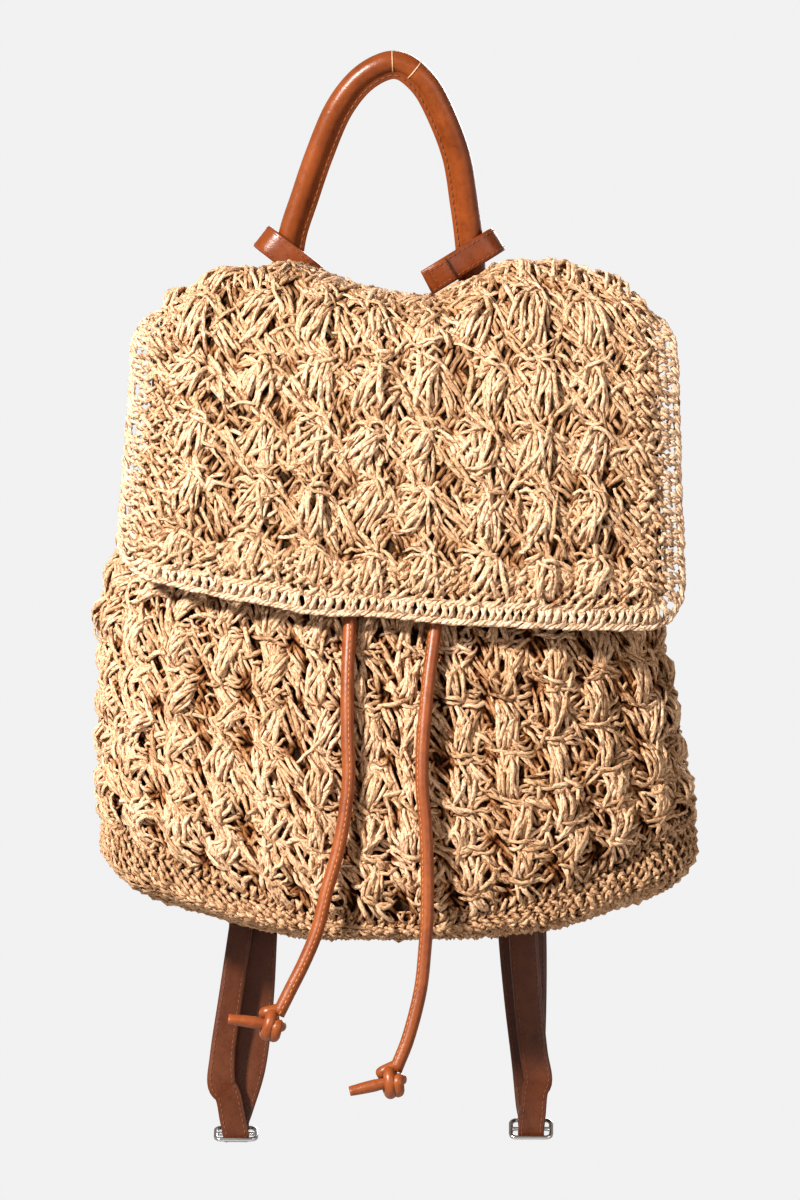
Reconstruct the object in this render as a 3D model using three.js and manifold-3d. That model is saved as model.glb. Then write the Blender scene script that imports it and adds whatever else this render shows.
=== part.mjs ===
import * as THREE from 'three';
import Module from 'manifold-3d';
import { mergeVertices } from 'three/addons/utils/BufferGeometryUtils.js';

const wasm = await Module();
wasm.setup();

// A crocheted straw backpack with a flap, hanging from its grab handle.
// Millimetres. +Z is up, -Y is the front with the flap, +X is the right side seen from the front.
// The origin is the underside of the handle's top, where it hangs.

// Crochet wall of the main compartment
const bagWidth = 316;
const frontDepth = 73;
const backDepth = 37;
const wallThickness = 6;
const rimBelowHang = 136;
const wallDrop = 316;
const seamRise = 58;
const pleatDepth = 2.6;
const pleatCount = 15;

// Crochet base
const baseDrop = 6.5;
const keelLeftRise = 30;
const keelRightRise = 20;
const baseThickness = 6;

// Flap
const flapWidth = 300;
const flapDrop = 155;
const flapFoldRise = 38;
const flapThickness = 6;
const flapSideCurl = 24;
const flapRoom = 4;
const flapCornerRadius = 22;
const edgingWidth = 11;
const edgingThickness = 5.4;
const edgingGap = 0.9;

// Rolled handle
const handleSpan = 100;
const footRise = 36;
const handleDiameter = 11.6;
const flangeHeight = 3.6;
const flangeThickness = 3;
const footClearance = 1.05;

// Folded leather loops round the handle's feet
const loopWidth = 14;
const loopThickness = 2.2;
const loopClearance = 2.1;
const loopReachLeft = 19;
const loopReachRight = 29;

// Drawstring
const cordDiameter = 7.4;
const cordClearance = 2;
const cordSpan = 60;
const neckClearance = 2.3;
const knotDiameter = 17;
const knotLength = 15;
const tailLength = 15;

// Shoulder straps
const strapSpan = 100;
const strapWidth = 26;
const strapEndWidth = 14;
const strapThickness = 2.6;
const strapTopRise = 10.5;
const strapStandOff = 14;
const lowerStrapRise = 31;
const lowerStrapThickness = 3.4;
const tongueThickness = 1.8;

// Slide buckles
const buckleWidth = 24;
const buckleLength = 15.5;
const buckleWire = 2.4;
const buckleHang = 105;

// Gap between touching pieces
const gap = 0.35;

const radians = Math.PI / 180;
const strawMaterial = new THREE.MeshStandardMaterial({ color: 0xd6b27a, roughness: 0.85, metalness: 0 });
const baseMaterial = new THREE.MeshStandardMaterial({ color: 0xc2a06a, roughness: 0.85, metalness: 0 });
const edgingMaterial = new THREE.MeshStandardMaterial({ color: 0xe2c48e, roughness: 0.85, metalness: 0 });
const handleMaterial = new THREE.MeshStandardMaterial({ color: 0x9c5228, roughness: 0.45, metalness: 0 });
const cordMaterial = new THREE.MeshStandardMaterial({ color: 0xb5653a, roughness: 0.5, metalness: 0 });
const strapMaterial = new THREE.MeshStandardMaterial({ color: 0x6a3a24, roughness: 0.45, metalness: 0 });
const steelMaterial = new THREE.MeshStandardMaterial({ color: 0xc9cbd0, roughness: 0.25, metalness: 1 });

const bag = new THREE.Group();

function addPiece(name, geometry, material) {
  geometry.computeVertexNormals();
  const piece = new THREE.Mesh(geometry, material);
  piece.name = name;
  bag.add(piece);
  return piece;
}

// Smooth value of one column of a table whose rows are ordered by their first column.
function along(table, orderColumn, column, at) {
  const last = table.length - 1;
  let row = 0;
  while (row < last - 1 && at > table[row + 1][orderColumn]) row += 1;
  const x0 = table[row][orderColumn];
  const x1 = table[row + 1][orderColumn];
  const y0 = table[row][column];
  const y1 = table[row + 1][column];
  const before = table[Math.max(row - 1, 0)];
  const after = table[Math.min(row + 2, last)];
  const slope0 = (y1 - before[column]) / (x1 - before[orderColumn]);
  const slope1 = (after[column] - y0) / (after[orderColumn] - x0);
  const span = x1 - x0;
  const t = (at - x0) / span;
  const t2 = t * t;
  const t3 = t2 * t;
  return (2 * t3 - 3 * t2 + 1) * y0 + (t3 - 2 * t2 + t) * span * slope0
    + (3 * t2 - 2 * t3) * y1 + (t3 - t2) * span * slope1;
}

// One closed body from rows of points. Rings close on themselves; ends are capped or joined.
function loft(rings, joinEnds = false) {
  const count = rings[0].length;
  const positions = [];
  rings.forEach((ring) => ring.forEach((p) => positions.push(p.x, p.y, p.z)));
  const indices = [];
  const bands = joinEnds ? rings.length : rings.length - 1;
  for (let band = 0; band < bands; band += 1) {
    const low = band * count;
    const high = ((band + 1) % rings.length) * count;
    for (let i = 0; i < count; i += 1) {
      const j = (i + 1) % count;
      indices.push(low + i, low + j, high + j, low + i, high + j, high + i);
    }
  }
  if (!joinEnds) {
    [0, rings.length - 1].forEach((end) => {
      const middle = new THREE.Vector3();
      rings[end].forEach((p) => middle.add(p));
      middle.divideScalar(count);
      const centre = positions.length / 3;
      positions.push(middle.x, middle.y, middle.z);
      for (let i = 0; i < count; i += 1) {
        const a = end * count + i;
        const b = end * count + ((i + 1) % count);
        if (end === 0) indices.push(centre, b, a);
        else indices.push(centre, a, b);
      }
    });
  }
  return outward(positions, indices);
}

// Builds the geometry and turns its faces outward.
function outward(positions, indices) {
  let volume = 0;
  const corner = (k) => new THREE.Vector3(positions[3 * k], positions[3 * k + 1], positions[3 * k + 2]);
  for (let i = 0; i < indices.length; i += 3) {
    const a = corner(indices[i]);
    volume += a.dot(corner(indices[i + 1]).cross(corner(indices[i + 2])));
  }
  if (volume < 0) {
    for (let i = 0; i < indices.length; i += 3) {
      const swap = indices[i + 1];
      indices[i + 1] = indices[i + 2];
      indices[i + 2] = swap;
    }
  }
  const geometry = new THREE.BufferGeometry();
  geometry.setAttribute('position', new THREE.Float32BufferAttribute(positions, 3));
  geometry.setIndex(indices);
  return geometry;
}

// A sheet with a thickness, from two grids of points of the same size.
function slab(outer, inner) {
  const rows = outer.length;
  const columns = outer[0].length;
  const positions = [];
  [outer, inner].forEach((grid) => grid.forEach((row) => row.forEach((p) => positions.push(p.x, p.y, p.z))));
  const under = rows * columns;
  const indices = [];
  const quad = (a, b, c, d) => indices.push(a, b, c, a, c, d);
  for (let r = 0; r < rows - 1; r += 1) {
    for (let c = 0; c < columns - 1; c += 1) {
      const a = r * columns + c;
      quad(a, a + 1, a + columns + 1, a + columns);
      quad(under + a, under + a + columns, under + a + columns + 1, under + a + 1);
    }
  }
  for (let c = 0; c < columns - 1; c += 1) {
    quad(c + 1, c, under + c, under + c + 1);
    const a = (rows - 1) * columns + c;
    quad(a, a + 1, under + a + 1, under + a);
  }
  for (let r = 0; r < rows - 1; r += 1) {
    const a = r * columns;
    quad(a, a + columns, under + a + columns, under + a);
    const b = a + columns - 1;
    quad(b + columns, b, under + b, under + b + columns);
  }
  return outward(positions, indices);
}

// Bag wall.

// Level sections from the base seam (height 0) to the mouth rim (height 1). Lengths are shares:
// width and shift of half the bag's width, front and back of the two depths, pleat of its depth.
const wallSections = [
  { height: 0, width: 1, shift: 0, front: 0.84, back: 0.86, square: 2.7, pleat: 0 },
  { height: 0.05, width: 1.002, shift: -0.008, front: 0.94, back: 0.95, square: 2.7, pleat: 0 },
  { height: 0.14, width: 0.99, shift: -0.02, front: 1, back: 1, square: 2.7, pleat: 0 },
  { height: 0.26, width: 0.98, shift: -0.035, front: 1, back: 1, square: 2.6, pleat: 0.06 },
  { height: 0.4, width: 0.955, shift: -0.047, front: 0.96, back: 0.97, square: 2.6, pleat: 0.2 },
  { height: 0.52, width: 0.918, shift: -0.05, front: 0.89, back: 0.92, square: 2.5, pleat: 0.4 },
  { height: 0.65, width: 0.86, shift: -0.042, front: 0.8, back: 0.83, square: 2.4, pleat: 0.65 },
  { height: 0.8, width: 0.785, shift: -0.03, front: 0.67, back: 0.66, square: 2.3, pleat: 0.9 },
  { height: 0.92, width: 0.725, shift: -0.02, front: 0.56, back: 0.52, square: 2.2, pleat: 1 },
  { height: 1, width: 0.765, shift: -0.02, front: 0.62, back: 0.57, square: 2.2, pleat: 0.9 },
];
const neckHeight = 0.92;
const deepestHeight = 0.2;

// Level of the base seam and of any height above it, which follow the boat-shaped base.
function seamLevel(x) {
  const share = x / (bagWidth / 2);
  return -rimBelowHang - wallDrop + seamRise * share * share;
}

function wallLevel(height, x) {
  const seam = seamLevel(x);
  return seam + (-rimBelowHang - seam) * height;
}

function sectionAt(height) {
  const half = bagWidth / 2;
  return {
    half: along(wallSections, 'height', 'width', height) * half,
    shift: along(wallSections, 'height', 'shift', height) * half,
    front: along(wallSections, 'height', 'front', height) * frontDepth,
    back: along(wallSections, 'height', 'back', height) * backDepth,
    square: along(wallSections, 'height', 'square', height),
    pleat: along(wallSections, 'height', 'pleat', height) * pleatDepth,
  };
}

// Point of a rounded quarter whose arc is walked in even steps, from the middle of the face
// (share 0) to the side (share 1).
function quarterPoint(half, depth, square, share) {
  const steps = 48;
  const points = [];
  const lengths = [0];
  for (let i = 0; i <= steps; i += 1) {
    const angle = (i / steps) * Math.PI / 2;
    points.push([half * Math.sin(angle) ** (2 / square), depth * Math.cos(angle) ** (2 / square)]);
    if (i > 0) {
      const step = Math.hypot(points[i][0] - points[i - 1][0], points[i][1] - points[i - 1][1]);
      lengths.push(lengths[i - 1] + step);
    }
  }
  const target = share * lengths[steps];
  let i = 1;
  while (i < steps && lengths[i] < target) i += 1;
  const t = (target - lengths[i - 1]) / (lengths[i] - lengths[i - 1]);
  return [
    points[i - 1][0] + (points[i][0] - points[i - 1][0]) * t,
    points[i - 1][1] + (points[i][1] - points[i - 1][1]) * t,
  ];
}

// Plan point of a section. Girth runs from 0 at the front middle, 0.25 at the right side,
// 0.5 at the back middle and 0.75 at the left side.
function planPoint(section, girth, inset = 0) {
  const quarter = Math.floor(girth * 4) % 4;
  const share = girth * 4 - Math.floor(girth * 4);
  const right = quarter < 2;
  const front = quarter === 0 || quarter === 3;
  const depth = (front ? section.front : section.back) - inset;
  const fromFace = quarter === 0 || quarter === 2 ? share : 1 - share;
  const [x, y] = quarterPoint(section.half - inset, depth, section.square, fromFace);
  const ripple = 1 + section.pleat * Math.cos(2 * Math.PI * pleatCount * girth) / Math.hypot(x, y);
  return {
    x: section.shift + (right ? x : -x) * ripple,
    y: (front ? -y : y) * ripple,
  };
}

const girthSteps = 60;

function wallRing(height, inset) {
  const section = sectionAt(height);
  return Array.from({ length: girthSteps }, (unused, i) => {
    const { x, y } = planPoint(section, i / girthSteps, inset);
    return new THREE.Vector3(x, y, wallLevel(height, x));
  });
}

// Front or back face of the wall at a place in the front view.
function wallFace(x, z, side) {
  const seam = seamLevel(x);
  const height = THREE.MathUtils.clamp((z - seam) / (-rimBelowHang - seam), 0, 1);
  const section = sectionAt(height);
  const across = Math.min(Math.abs(x - section.shift) / section.half, 0.999);
  const reach = (1 - across ** section.square) ** (1 / section.square);
  return side * reach * (side < 0 ? section.front : section.back);
}

const wallHeights = [0.001, 0.05, 0.12, 0.21, 0.31, 0.42, 0.53, 0.64, 0.75, 0.84, 0.92, 0.96, 1];
const wallRings = [
  ...wallHeights.map((height) => wallRing(height, 0)),
  ...wallHeights.slice().reverse().map((height) => wallRing(height, wallThickness)),
];
addPiece('bag_wall', loft(wallRings, true), strawMaterial);

// Base.

// From the seam (first row) to the keel: reach is a share of the seam's plan outline, drop a
// share of the height from the seam down to the keel.
const baseProfile = [
  { reach: 1, drop: 0 },
  { reach: 1.006, drop: 0.42 },
  { reach: 0.972, drop: 0.66 },
  { reach: 0.86, drop: 0.81 },
  { reach: 0.64, drop: 0.9 },
  { reach: 0.34, drop: 0.97 },
];

const keelLevel = -rimBelowHang - wallDrop - baseDrop;

// The keel runs up towards both ends, like the bottom of a boat.
function keelLevelAt(x) {
  const endRise = x > 0 ? keelRightRise : keelLeftRise;
  return keelLevel + endRise * (Math.abs(x) / (bagWidth / 2)) ** 3;
}

function baseRing(row, inset, lift) {
  const section = sectionAt(0);
  return Array.from({ length: girthSteps }, (unused, i) => {
    const rim = planPoint(section, i / girthSteps, inset);
    const seam = seamLevel(rim.x) - gap;
    const level = seam + (keelLevelAt(rim.x * row.reach) - seam) * row.drop;
    return new THREE.Vector3(rim.x * row.reach, rim.y * row.reach, level + lift);
  });
}

const baseRings = [
  ...baseProfile.slice().reverse().map((row) => baseRing(row, 0, 0)),
  ...baseProfile.map((row) => baseRing(row, baseThickness, baseThickness * row.drop)),
];
addPiece('bag_base', loft(baseRings), baseMaterial);

// Flap.

// From the back rim (along 0) over the mouth to the lower front edge (along 1). Forward is a
// share of the way from the back rim to the front reach, rise a share of the fold's rise, left
// and right shares of half the flap's width.
const flapProfile = [
  { along: 0, forward: 0, rise: 0, left: 0.65, right: 0.7 },
  { along: 0.06, forward: -0.012, rise: 0.45, left: 0.67, right: 0.72 },
  { along: 0.12, forward: 0.05, rise: 0.8, left: 0.7, right: 0.75 },
  { along: 0.18, forward: 0.17, rise: 0.97, left: 0.73, right: 0.78 },
  { along: 0.24, forward: 0.31, rise: 1, left: 0.77, right: 0.82 },
  { along: 0.31, forward: 0.5, rise: 0.88, left: 0.84, right: 0.89 },
  { along: 0.38, forward: 0.68, rise: 0.5, left: 0.91, right: 0.96 },
  { along: 0.45, forward: 0.82, rise: -0.1, left: 0.945, right: 0.99 },
  { along: 0.56, forward: 0.915, rise: -0.1, left: 0.955, right: 1.005 },
  { along: 0.72, forward: 0.97, rise: -0.1, left: 0.975, right: 1.018 },
  { along: 0.86, forward: 0.995, rise: -0.1, left: 0.993, right: 1.022 },
  { along: 1, forward: 1, rise: -0.1, left: 1.006, right: 1.03 },
];
const frontStart = 0.45;

// Across the flap, from its left edge (-1) to its right edge (1): sag is a share of the fold's
// rise by which the fold hangs lower there, hem a share of the flap's drop.
const flapAcross = [
  { across: -1, sag: 0.64, hem: 0.83 },
  { across: -0.8, sag: 0.26, hem: 0.87 },
  { across: -0.6, sag: 0.07, hem: 0.915 },
  { across: -0.5, sag: 0, hem: 0.93 },
  { across: -0.28, sag: 0.22, hem: 0.97 },
  { across: -0.06, sag: 0.4, hem: 0.975 },
  { across: 0.15, sag: 0.46, hem: 1 },
  { across: 0.35, sag: 0.19, hem: 1.01 },
  { across: 0.46, sag: 0.02, hem: 1.015 },
  { across: 0.6, sag: 0.05, hem: 1.02 },
  { across: 0.84, sag: 0.24, hem: 1.022 },
  { across: 1, sag: 0.64, hem: 1.02 },
];

const rimSection = sectionAt(1);
const flapFront = -frontDepth * along(wallSections, 'height', 'front', 0.52)
  - cordDiameter - flapRoom - flapThickness;

// Outer face of the flap.
function flapPoint(across, at) {
  const half = along(flapProfile, 'along', across < 0 ? 'left' : 'right', at) * flapWidth / 2;
  const x = across * half;
  const foot = planDepth(rimSection, across * flapProfile[0].left * flapWidth / 2);
  const forward = along(flapProfile, 'along', 'forward', at);
  const curl = flapSideCurl * Math.abs(across) ** 4;
  const y = foot + (flapFront + curl - foot) * forward;
  const fold = flapFoldRise * (1 - along(flapAcross, 'across', 'sag', across));
  const start = -rimBelowHang + gap;
  if (at <= frontStart) {
    return new THREE.Vector3(x, y, start + fold * along(flapProfile, 'along', 'rise', at));
  }
  const shoulder = start + fold * along(flapProfile, 'along', 'rise', frontStart);
  const hem = -rimBelowHang - flapDrop * along(flapAcross, 'across', 'hem', across);
  return new THREE.Vector3(x, y, shoulder + (hem - shoulder) * (at - frontStart) / (1 - frontStart));
}

// Back face of a section at a place across it.
function planDepth(section, x) {
  const across = Math.min(Math.abs(x - section.shift) / section.half, 0.98);
  return section.back * (1 - across ** section.square) ** (1 / section.square);
}

// The flap's face moved inward along its normal.
function flapInset(across, at, depth) {
  const step = 0.004;
  const point = flapPoint(across, at);
  const side = flapPoint(across + step, at).sub(flapPoint(across - step, at));
  const run = flapPoint(across, Math.min(at + step, 1)).sub(flapPoint(across, Math.max(at - step, 0)));
  return point.add(run.cross(side).normalize().multiplyScalar(-depth));
}

// Length along the flap's middle, which turns millimetres into shares.
let flapLength = 0;
for (let i = 0; i < 60; i += 1) {
  flapLength += flapPoint(0, i / 60).distanceTo(flapPoint(0, (i + 1) / 60));
}

// Place on the flap, a number of millimetres in from its outline, with rounded lower corners.
// Row is the distance up from the hem, side -1 or 1.
function outlinePlace(up, side, inset) {
  const at = 1 - up / flapLength;
  const half = along(flapProfile, 'along', side < 0 ? 'left' : 'right', at) * flapWidth / 2;
  let reach = half - inset;
  if (up < flapCornerRadius) {
    const radius = flapCornerRadius - inset;
    const fall = flapCornerRadius - up;
    reach = half - flapCornerRadius + Math.sqrt(Math.max(radius * radius - fall * fall, 0));
  }
  return { across: side * reach / half, at };
}

const mainInset = edgingWidth + edgingGap;
const flapRowShares = [0, 0.05, 0.1, 0.15, 0.2, 0.25, 0.3, 0.35, 0.4, 0.45, 0.52, 0.6, 0.68, 0.76, 0.84];
const cornerTurns = [0, 18, 36, 54, 72, 90];
const flapRows = [
  ...flapRowShares.map((share) => flapLength * (1 - share)),
  ...cornerTurns.map((turn) => flapCornerRadius
    - (flapCornerRadius - mainInset) * Math.sin(turn * radians)),
];
const flapColumns = 24;

function flapGrid(depth) {
  return flapRows.map((up) => {
    const left = outlinePlace(up, -1, mainInset);
    const right = outlinePlace(up, 1, mainInset);
    return Array.from({ length: flapColumns + 1 }, (unused, i) => {
      const across = left.across + (right.across - left.across) * (i / flapColumns);
      return flapInset(across, left.at, depth);
    });
  });
}

addPiece('flap', slab(flapGrid(0), flapGrid(flapThickness)), strawMaterial);

// Edging: a section that follows the outline down one side, round the hem and up the other.
function hemPlaces(inset) {
  const sideRows = flapRowShares.map((share) => flapLength * (1 - share));
  const left = sideRows.map((up) => outlinePlace(up, -1, inset));
  const right = sideRows.map((up) => outlinePlace(up, 1, inset)).reverse();
  const corner = (side, angle) => {
    const radius = flapCornerRadius - inset;
    const up = flapCornerRadius - radius * Math.sin(angle * radians);
    const at = 1 - up / flapLength;
    const half = along(flapProfile, 'along', side < 0 ? 'left' : 'right', at) * flapWidth / 2;
    const reach = half - flapCornerRadius + radius * Math.cos(angle * radians);
    return { across: side * reach / half, at };
  };
  const leftCorner = cornerTurns.map((angle) => corner(-1, angle));
  const rightCorner = cornerTurns.map((angle) => corner(1, angle)).reverse();
  const start = leftCorner[cornerTurns.length - 1];
  const end = rightCorner[0];
  const hem = Array.from({ length: flapColumns - 1 }, (unused, i) => ({
    across: start.across + (end.across - start.across) * (i + 1) / flapColumns,
    at: start.at,
  }));
  return [...left, ...leftCorner, ...hem, ...rightCorner, ...right];
}

const edgingSection = [
  { inset: edgingWidth, depth: 0.15 },
  { inset: edgingWidth / 2, depth: -0.08 },
  { inset: 0, depth: 0.2 },
  { inset: 0, depth: 0.8 },
  { inset: edgingWidth / 2, depth: 1 },
  { inset: edgingWidth, depth: 0.85 },
];
const edgingLines = edgingSection.map((corner) => hemPlaces(corner.inset)
  .map((place) => flapInset(place.across, place.at, corner.depth * edgingThickness)));
const edgingRings = edgingLines[0].map((unused, i) => edgingLines.map((line) => line[i]));
addPiece('flap_edging', loft(edgingRings), edgingMaterial);

// Handle.

// Middle of the roll: across is a share of the handle's span, up a share of its rise, lean a
// share of the way from the hanging point back to the feet.
const handlePath = [
  { across: -0.612, up: -1.27, lean: 1 },
  { across: -0.605, up: -1.15, lean: 0.97 },
  { across: -0.592, up: -1, lean: 0.9 },
  { across: -0.571, up: -0.89, lean: 0.82 },
  { across: -0.517, up: -0.728, lean: 0.68 },
  { across: -0.434, up: -0.488, lean: 0.45 },
  { across: -0.325, up: -0.237, lean: 0.2 },
  { across: -0.213, up: -0.092, lean: 0.07 },
  { across: -0.112, up: -0.022, lean: 0.01 },
  { across: -0.03, up: 0.004, lean: 0 },
  { across: 0.03, up: -0.004, lean: 0 },
  { across: 0.085, up: -0.035, lean: 0.01 },
  { across: 0.165, up: -0.115, lean: 0.07 },
  { across: 0.235, up: -0.237, lean: 0.2 },
  { across: 0.333, up: -0.488, lean: 0.45 },
  { across: 0.378, up: -0.754, lean: 0.7 },
  { across: 0.398, up: -0.9, lean: 0.83 },
  { across: 0.41, up: -1.02, lean: 0.91 },
  { across: 0.422, up: -1.15, lean: 0.97 },
  { across: 0.43, up: -1.27, lean: 1 },
];
const handleRadius = handleDiameter / 2;
const handleRise = rimBelowHang - footRise;
const handleTop = handleRadius + flangeHeight;
const feetBack = planDepth(rimSection, handleSpan / 2) + handleRadius + footClearance;
const handleCurve = new THREE.CatmullRomCurve3(handlePath.map((row) => new THREE.Vector3(
  row.across * handleSpan,
  row.lean * feetBack,
  handleTop + row.up * handleRise,
)));

const handleRings = [];
const handleSteps = 36;
for (let i = 0; i <= handleSteps; i += 1) {
  const middle = handleCurve.getPointAt(i / handleSteps);
  const run = handleCurve.getTangentAt(i / handleSteps);
  const inward = new THREE.Vector3(run.z, 0, -run.x).normalize();
  const side = run.clone().cross(inward).normalize();
  const root = Math.asin(flangeThickness / handleDiameter);
  const ring = [
    [handleRadius + flangeHeight, -flangeThickness / 2],
    [handleRadius + flangeHeight, flangeThickness / 2],
  ];
  const arcSteps = 9;
  for (let k = 0; k <= arcSteps; k += 1) {
    const angle = root + (2 * Math.PI - 2 * root) * (k / arcSteps);
    ring.push([handleRadius * Math.cos(angle), handleRadius * Math.sin(angle)]);
  }
  handleRings.push(ring.map(([out, across]) => middle.clone()
    .addScaledVector(inward, out)
    .addScaledVector(side, across)));
}
addPiece('handle', loft(handleRings), handleMaterial);

// Strips of leather.

// A flat strip along a path. Each row holds its middle, the direction of its width, its width
// and thickness.
function strip(rows) {
  return loft(rows.map((row, i) => {
    const before = rows[Math.max(i - 1, 0)].at;
    const after = rows[Math.min(i + 1, rows.length - 1)].at;
    const run = after.clone().sub(before).normalize();
    const across = row.across.clone();
    across.addScaledVector(run, -across.dot(run)).normalize();
    const out = run.clone().cross(across).normalize();
    const w = row.width / 2;
    const t = row.thickness / 2;
    const edge = Math.min(t * 0.8, w * 0.3);
    const outline = [
      [-w, -t * 0.3], [-w + edge, -t], [w - edge, -t], [w, -t * 0.3],
      [w, t * 0.3], [w - edge, t], [-w + edge, t], [-w, t * 0.3],
    ];
    return outline.map(([a, b]) => row.at.clone().addScaledVector(across, a).addScaledVector(out, b));
  }));
}

// Each loop wraps one foot of the handle and its two ends come together in front of the fold.
// Run is a share of the reach past the foot, or of the wrap radius on the turn; apart is a
// share of the half gap between the two layers.
const loopPath = [
  { reach: 1, turn: 0, apart: -0.2, advance: 0.9 },
  { reach: 0.62, turn: 0, apart: -0.8, advance: 0.5 },
  { reach: 0.25, turn: 0, apart: -1, advance: 0.12 },
  { reach: 0, turn: -0.1, apart: -1.02, advance: 0 },
  { reach: 0, turn: -0.86, apart: -0.8, advance: 0 },
  { reach: 0, turn: -1.2, apart: 0, advance: 0 },
  { reach: 0, turn: -0.86, apart: 0.8, advance: 0 },
  { reach: 0, turn: -0.1, apart: 1.02, advance: 0 },
  { reach: 0.25, turn: 0, apart: 1, advance: 0.12 },
  { reach: 0.62, turn: 0, apart: 0.86, advance: 0.5 },
  { reach: 1, turn: 0, apart: 0.42, advance: 0.9 },
];

// Foot is the share of the handle's length where the loop sits, run its direction in the front
// view in degrees, advance how far its ends come forward.
function handleLoop(name, foot, reach, runAngle, forward) {
  const middle = handleCurve.getPointAt(foot);
  const wrap = handleRadius + loopClearance + loopThickness / 2;
  const run = new THREE.Vector3(Math.cos(runAngle * radians), 0, Math.sin(runAngle * radians));
  const leg = handleCurve.getTangentAt(foot);
  const upright = leg.clone().addScaledVector(run, -run.dot(leg));
  const skew = Math.abs(run.dot(leg)) / upright.length() * loopWidth / 2;
  const past = handleRadius + flangeHeight + reach;
  const rows = loopPath.map((row) => ({
    at: middle.clone()
      .addScaledVector(run, row.reach * past + row.turn * (wrap + skew))
      .add(new THREE.Vector3(0, row.apart * wrap - row.advance * forward, 0)),
    across: upright,
    width: loopWidth,
    thickness: loopThickness,
  }));
  addPiece(name, strip(rows), handleMaterial);
}

handleLoop('handle_loop_left', 0.083, loopReachLeft - flangeHeight - handleRadius, -38, 3);
handleLoop('handle_loop_right', 0.915, loopReachRight - flangeHeight - handleRadius, 212, 12);

// Drawstring.

function cord(name, points, steps) {
  const sides = 8;
  const radius = cordDiameter / 2;
  const section = new THREE.Shape(Array.from({ length: sides }, (unused, i) => {
    const angle = (i + 0.5) * 2 * Math.PI / sides;
    return new THREE.Vector2(radius * Math.cos(angle), radius * Math.sin(angle));
  }));
  const extrudePath = new THREE.CatmullRomCurve3(points);
  const tube = new THREE.ExtrudeGeometry(section, { steps, bevelEnabled: false, extrudePath });
  tube.deleteAttribute('normal');
  tube.deleteAttribute('uv');
  addPiece(name, mergeVertices(tube, 1e-4), cordMaterial);
}

const cordRadius = cordDiameter / 2;
const neckSection = sectionAt(neckHeight);
const ringGap = pleatDepth + cordRadius + neckClearance;
const exitReach = cordSpan / 2;

// The run round the neck starts and ends at the two front exits.
const neckPoints = [];
const neckSteps = 36;
const neckReach = {
  ...neckSection,
  half: neckSection.half + ringGap,
  front: neckSection.front + ringGap,
  back: neckSection.back + ringGap,
  pleat: 0,
};

// Girth at which the run reaches a place across the front.
function girthAcross(x) {
  let low = -0.2;
  let high = 0.2;
  for (let i = 0; i < 30; i += 1) {
    const middle = (low + high) / 2;
    if (planPoint(neckReach, (middle + 1) % 1).x < x) low = middle;
    else high = middle;
  }
  return (low + high) / 2;
}

const rightExit = girthAcross(exitReach);
const leftExit = 1 + girthAcross(-exitReach);
for (let i = 0; i <= neckSteps; i += 1) {
  const girth = rightExit + (leftExit - rightExit) * (i / neckSteps);
  const { x, y } = planPoint(neckReach, girth);
  neckPoints.push(new THREE.Vector3(x, y, wallLevel(neckHeight, 0)));
}
cord('drawstring_neck', neckPoints, 32);

// Hand-picked points of the free ends in the front view, in millimetres from the hanging point.
const leftCordPoints = [
  [-24.6, -167], [-24, -180], [-24, -205], [-24.4, -240], [-24.6, -268], [-25, -289.5],
  [-26.4, -323.5], [-26.2, -350.8], [-25.6, -371], [-27.6, -391.2], [-31.4, -411.4],
  [-37.2, -432.3], [-42.6, -454.1], [-49.4, -470.6], [-55.8, -483.4], [-61.6, -495],
];
const rightCordPoints = [
  [25.6, -167], [25.8, -180], [25.6, -205], [24.4, -240], [22.4, -268], [20.2, -293],
  [16.4, -323.5], [14, -350.8], [13.3, -364], [13.4, -378], [15.2, -398.2], [16, -418.4],
  [16, -445.6], [14.8, -463.2], [12.4, -485], [5.6, -511.4], [0.4, -524.6],
];

// The ends leave the neck run, turn down and lie on the front of the wall, then hang free.
function freeEnd(name, side, points, steps) {
  const exit = neckPoints[side < 0 ? neckSteps : 0];
  const along0 = exit.clone().sub(neckPoints[side < 0 ? neckSteps - 1 : 1]).normalize();
  const start = exit.clone().addScaledVector(along0, gap * 1.4);
  const turn = exit.clone().addScaledVector(along0, cordRadius);
  const lowest = keelLevel + baseDrop + seamRise;
  const route = points.map(([x, z]) => {
    const face = wallFace(x, Math.max(z, lowest), -1) - sectionAt(neckHeight).pleat * 0.2;
    return new THREE.Vector3(x, face - cordRadius - cordClearance, z);
  });
  cord(name, [start, turn, ...route], steps);
  return route[route.length - 1];
}

const leftEnd = freeEnd('drawstring_left', -1, leftCordPoints, 40);
const rightEnd = freeEnd('drawstring_right', 1, rightCordPoints, 44);

// Each knot: two wraps side by side on the tail. Along is a share of the knot's length, thick
// a share of its diameter.
const knotProfile = [
  { along: -0.5, thick: 0.5 },
  { along: -0.42, thick: 0.82 },
  { along: -0.24, thick: 1 },
  { along: -0.06, thick: 0.96 },
  { along: 0.04, thick: 0.84 },
  { along: 0.16, thick: 0.98 },
  { along: 0.34, thick: 0.9 },
  { along: 0.46, thick: 0.68 },
];

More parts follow.
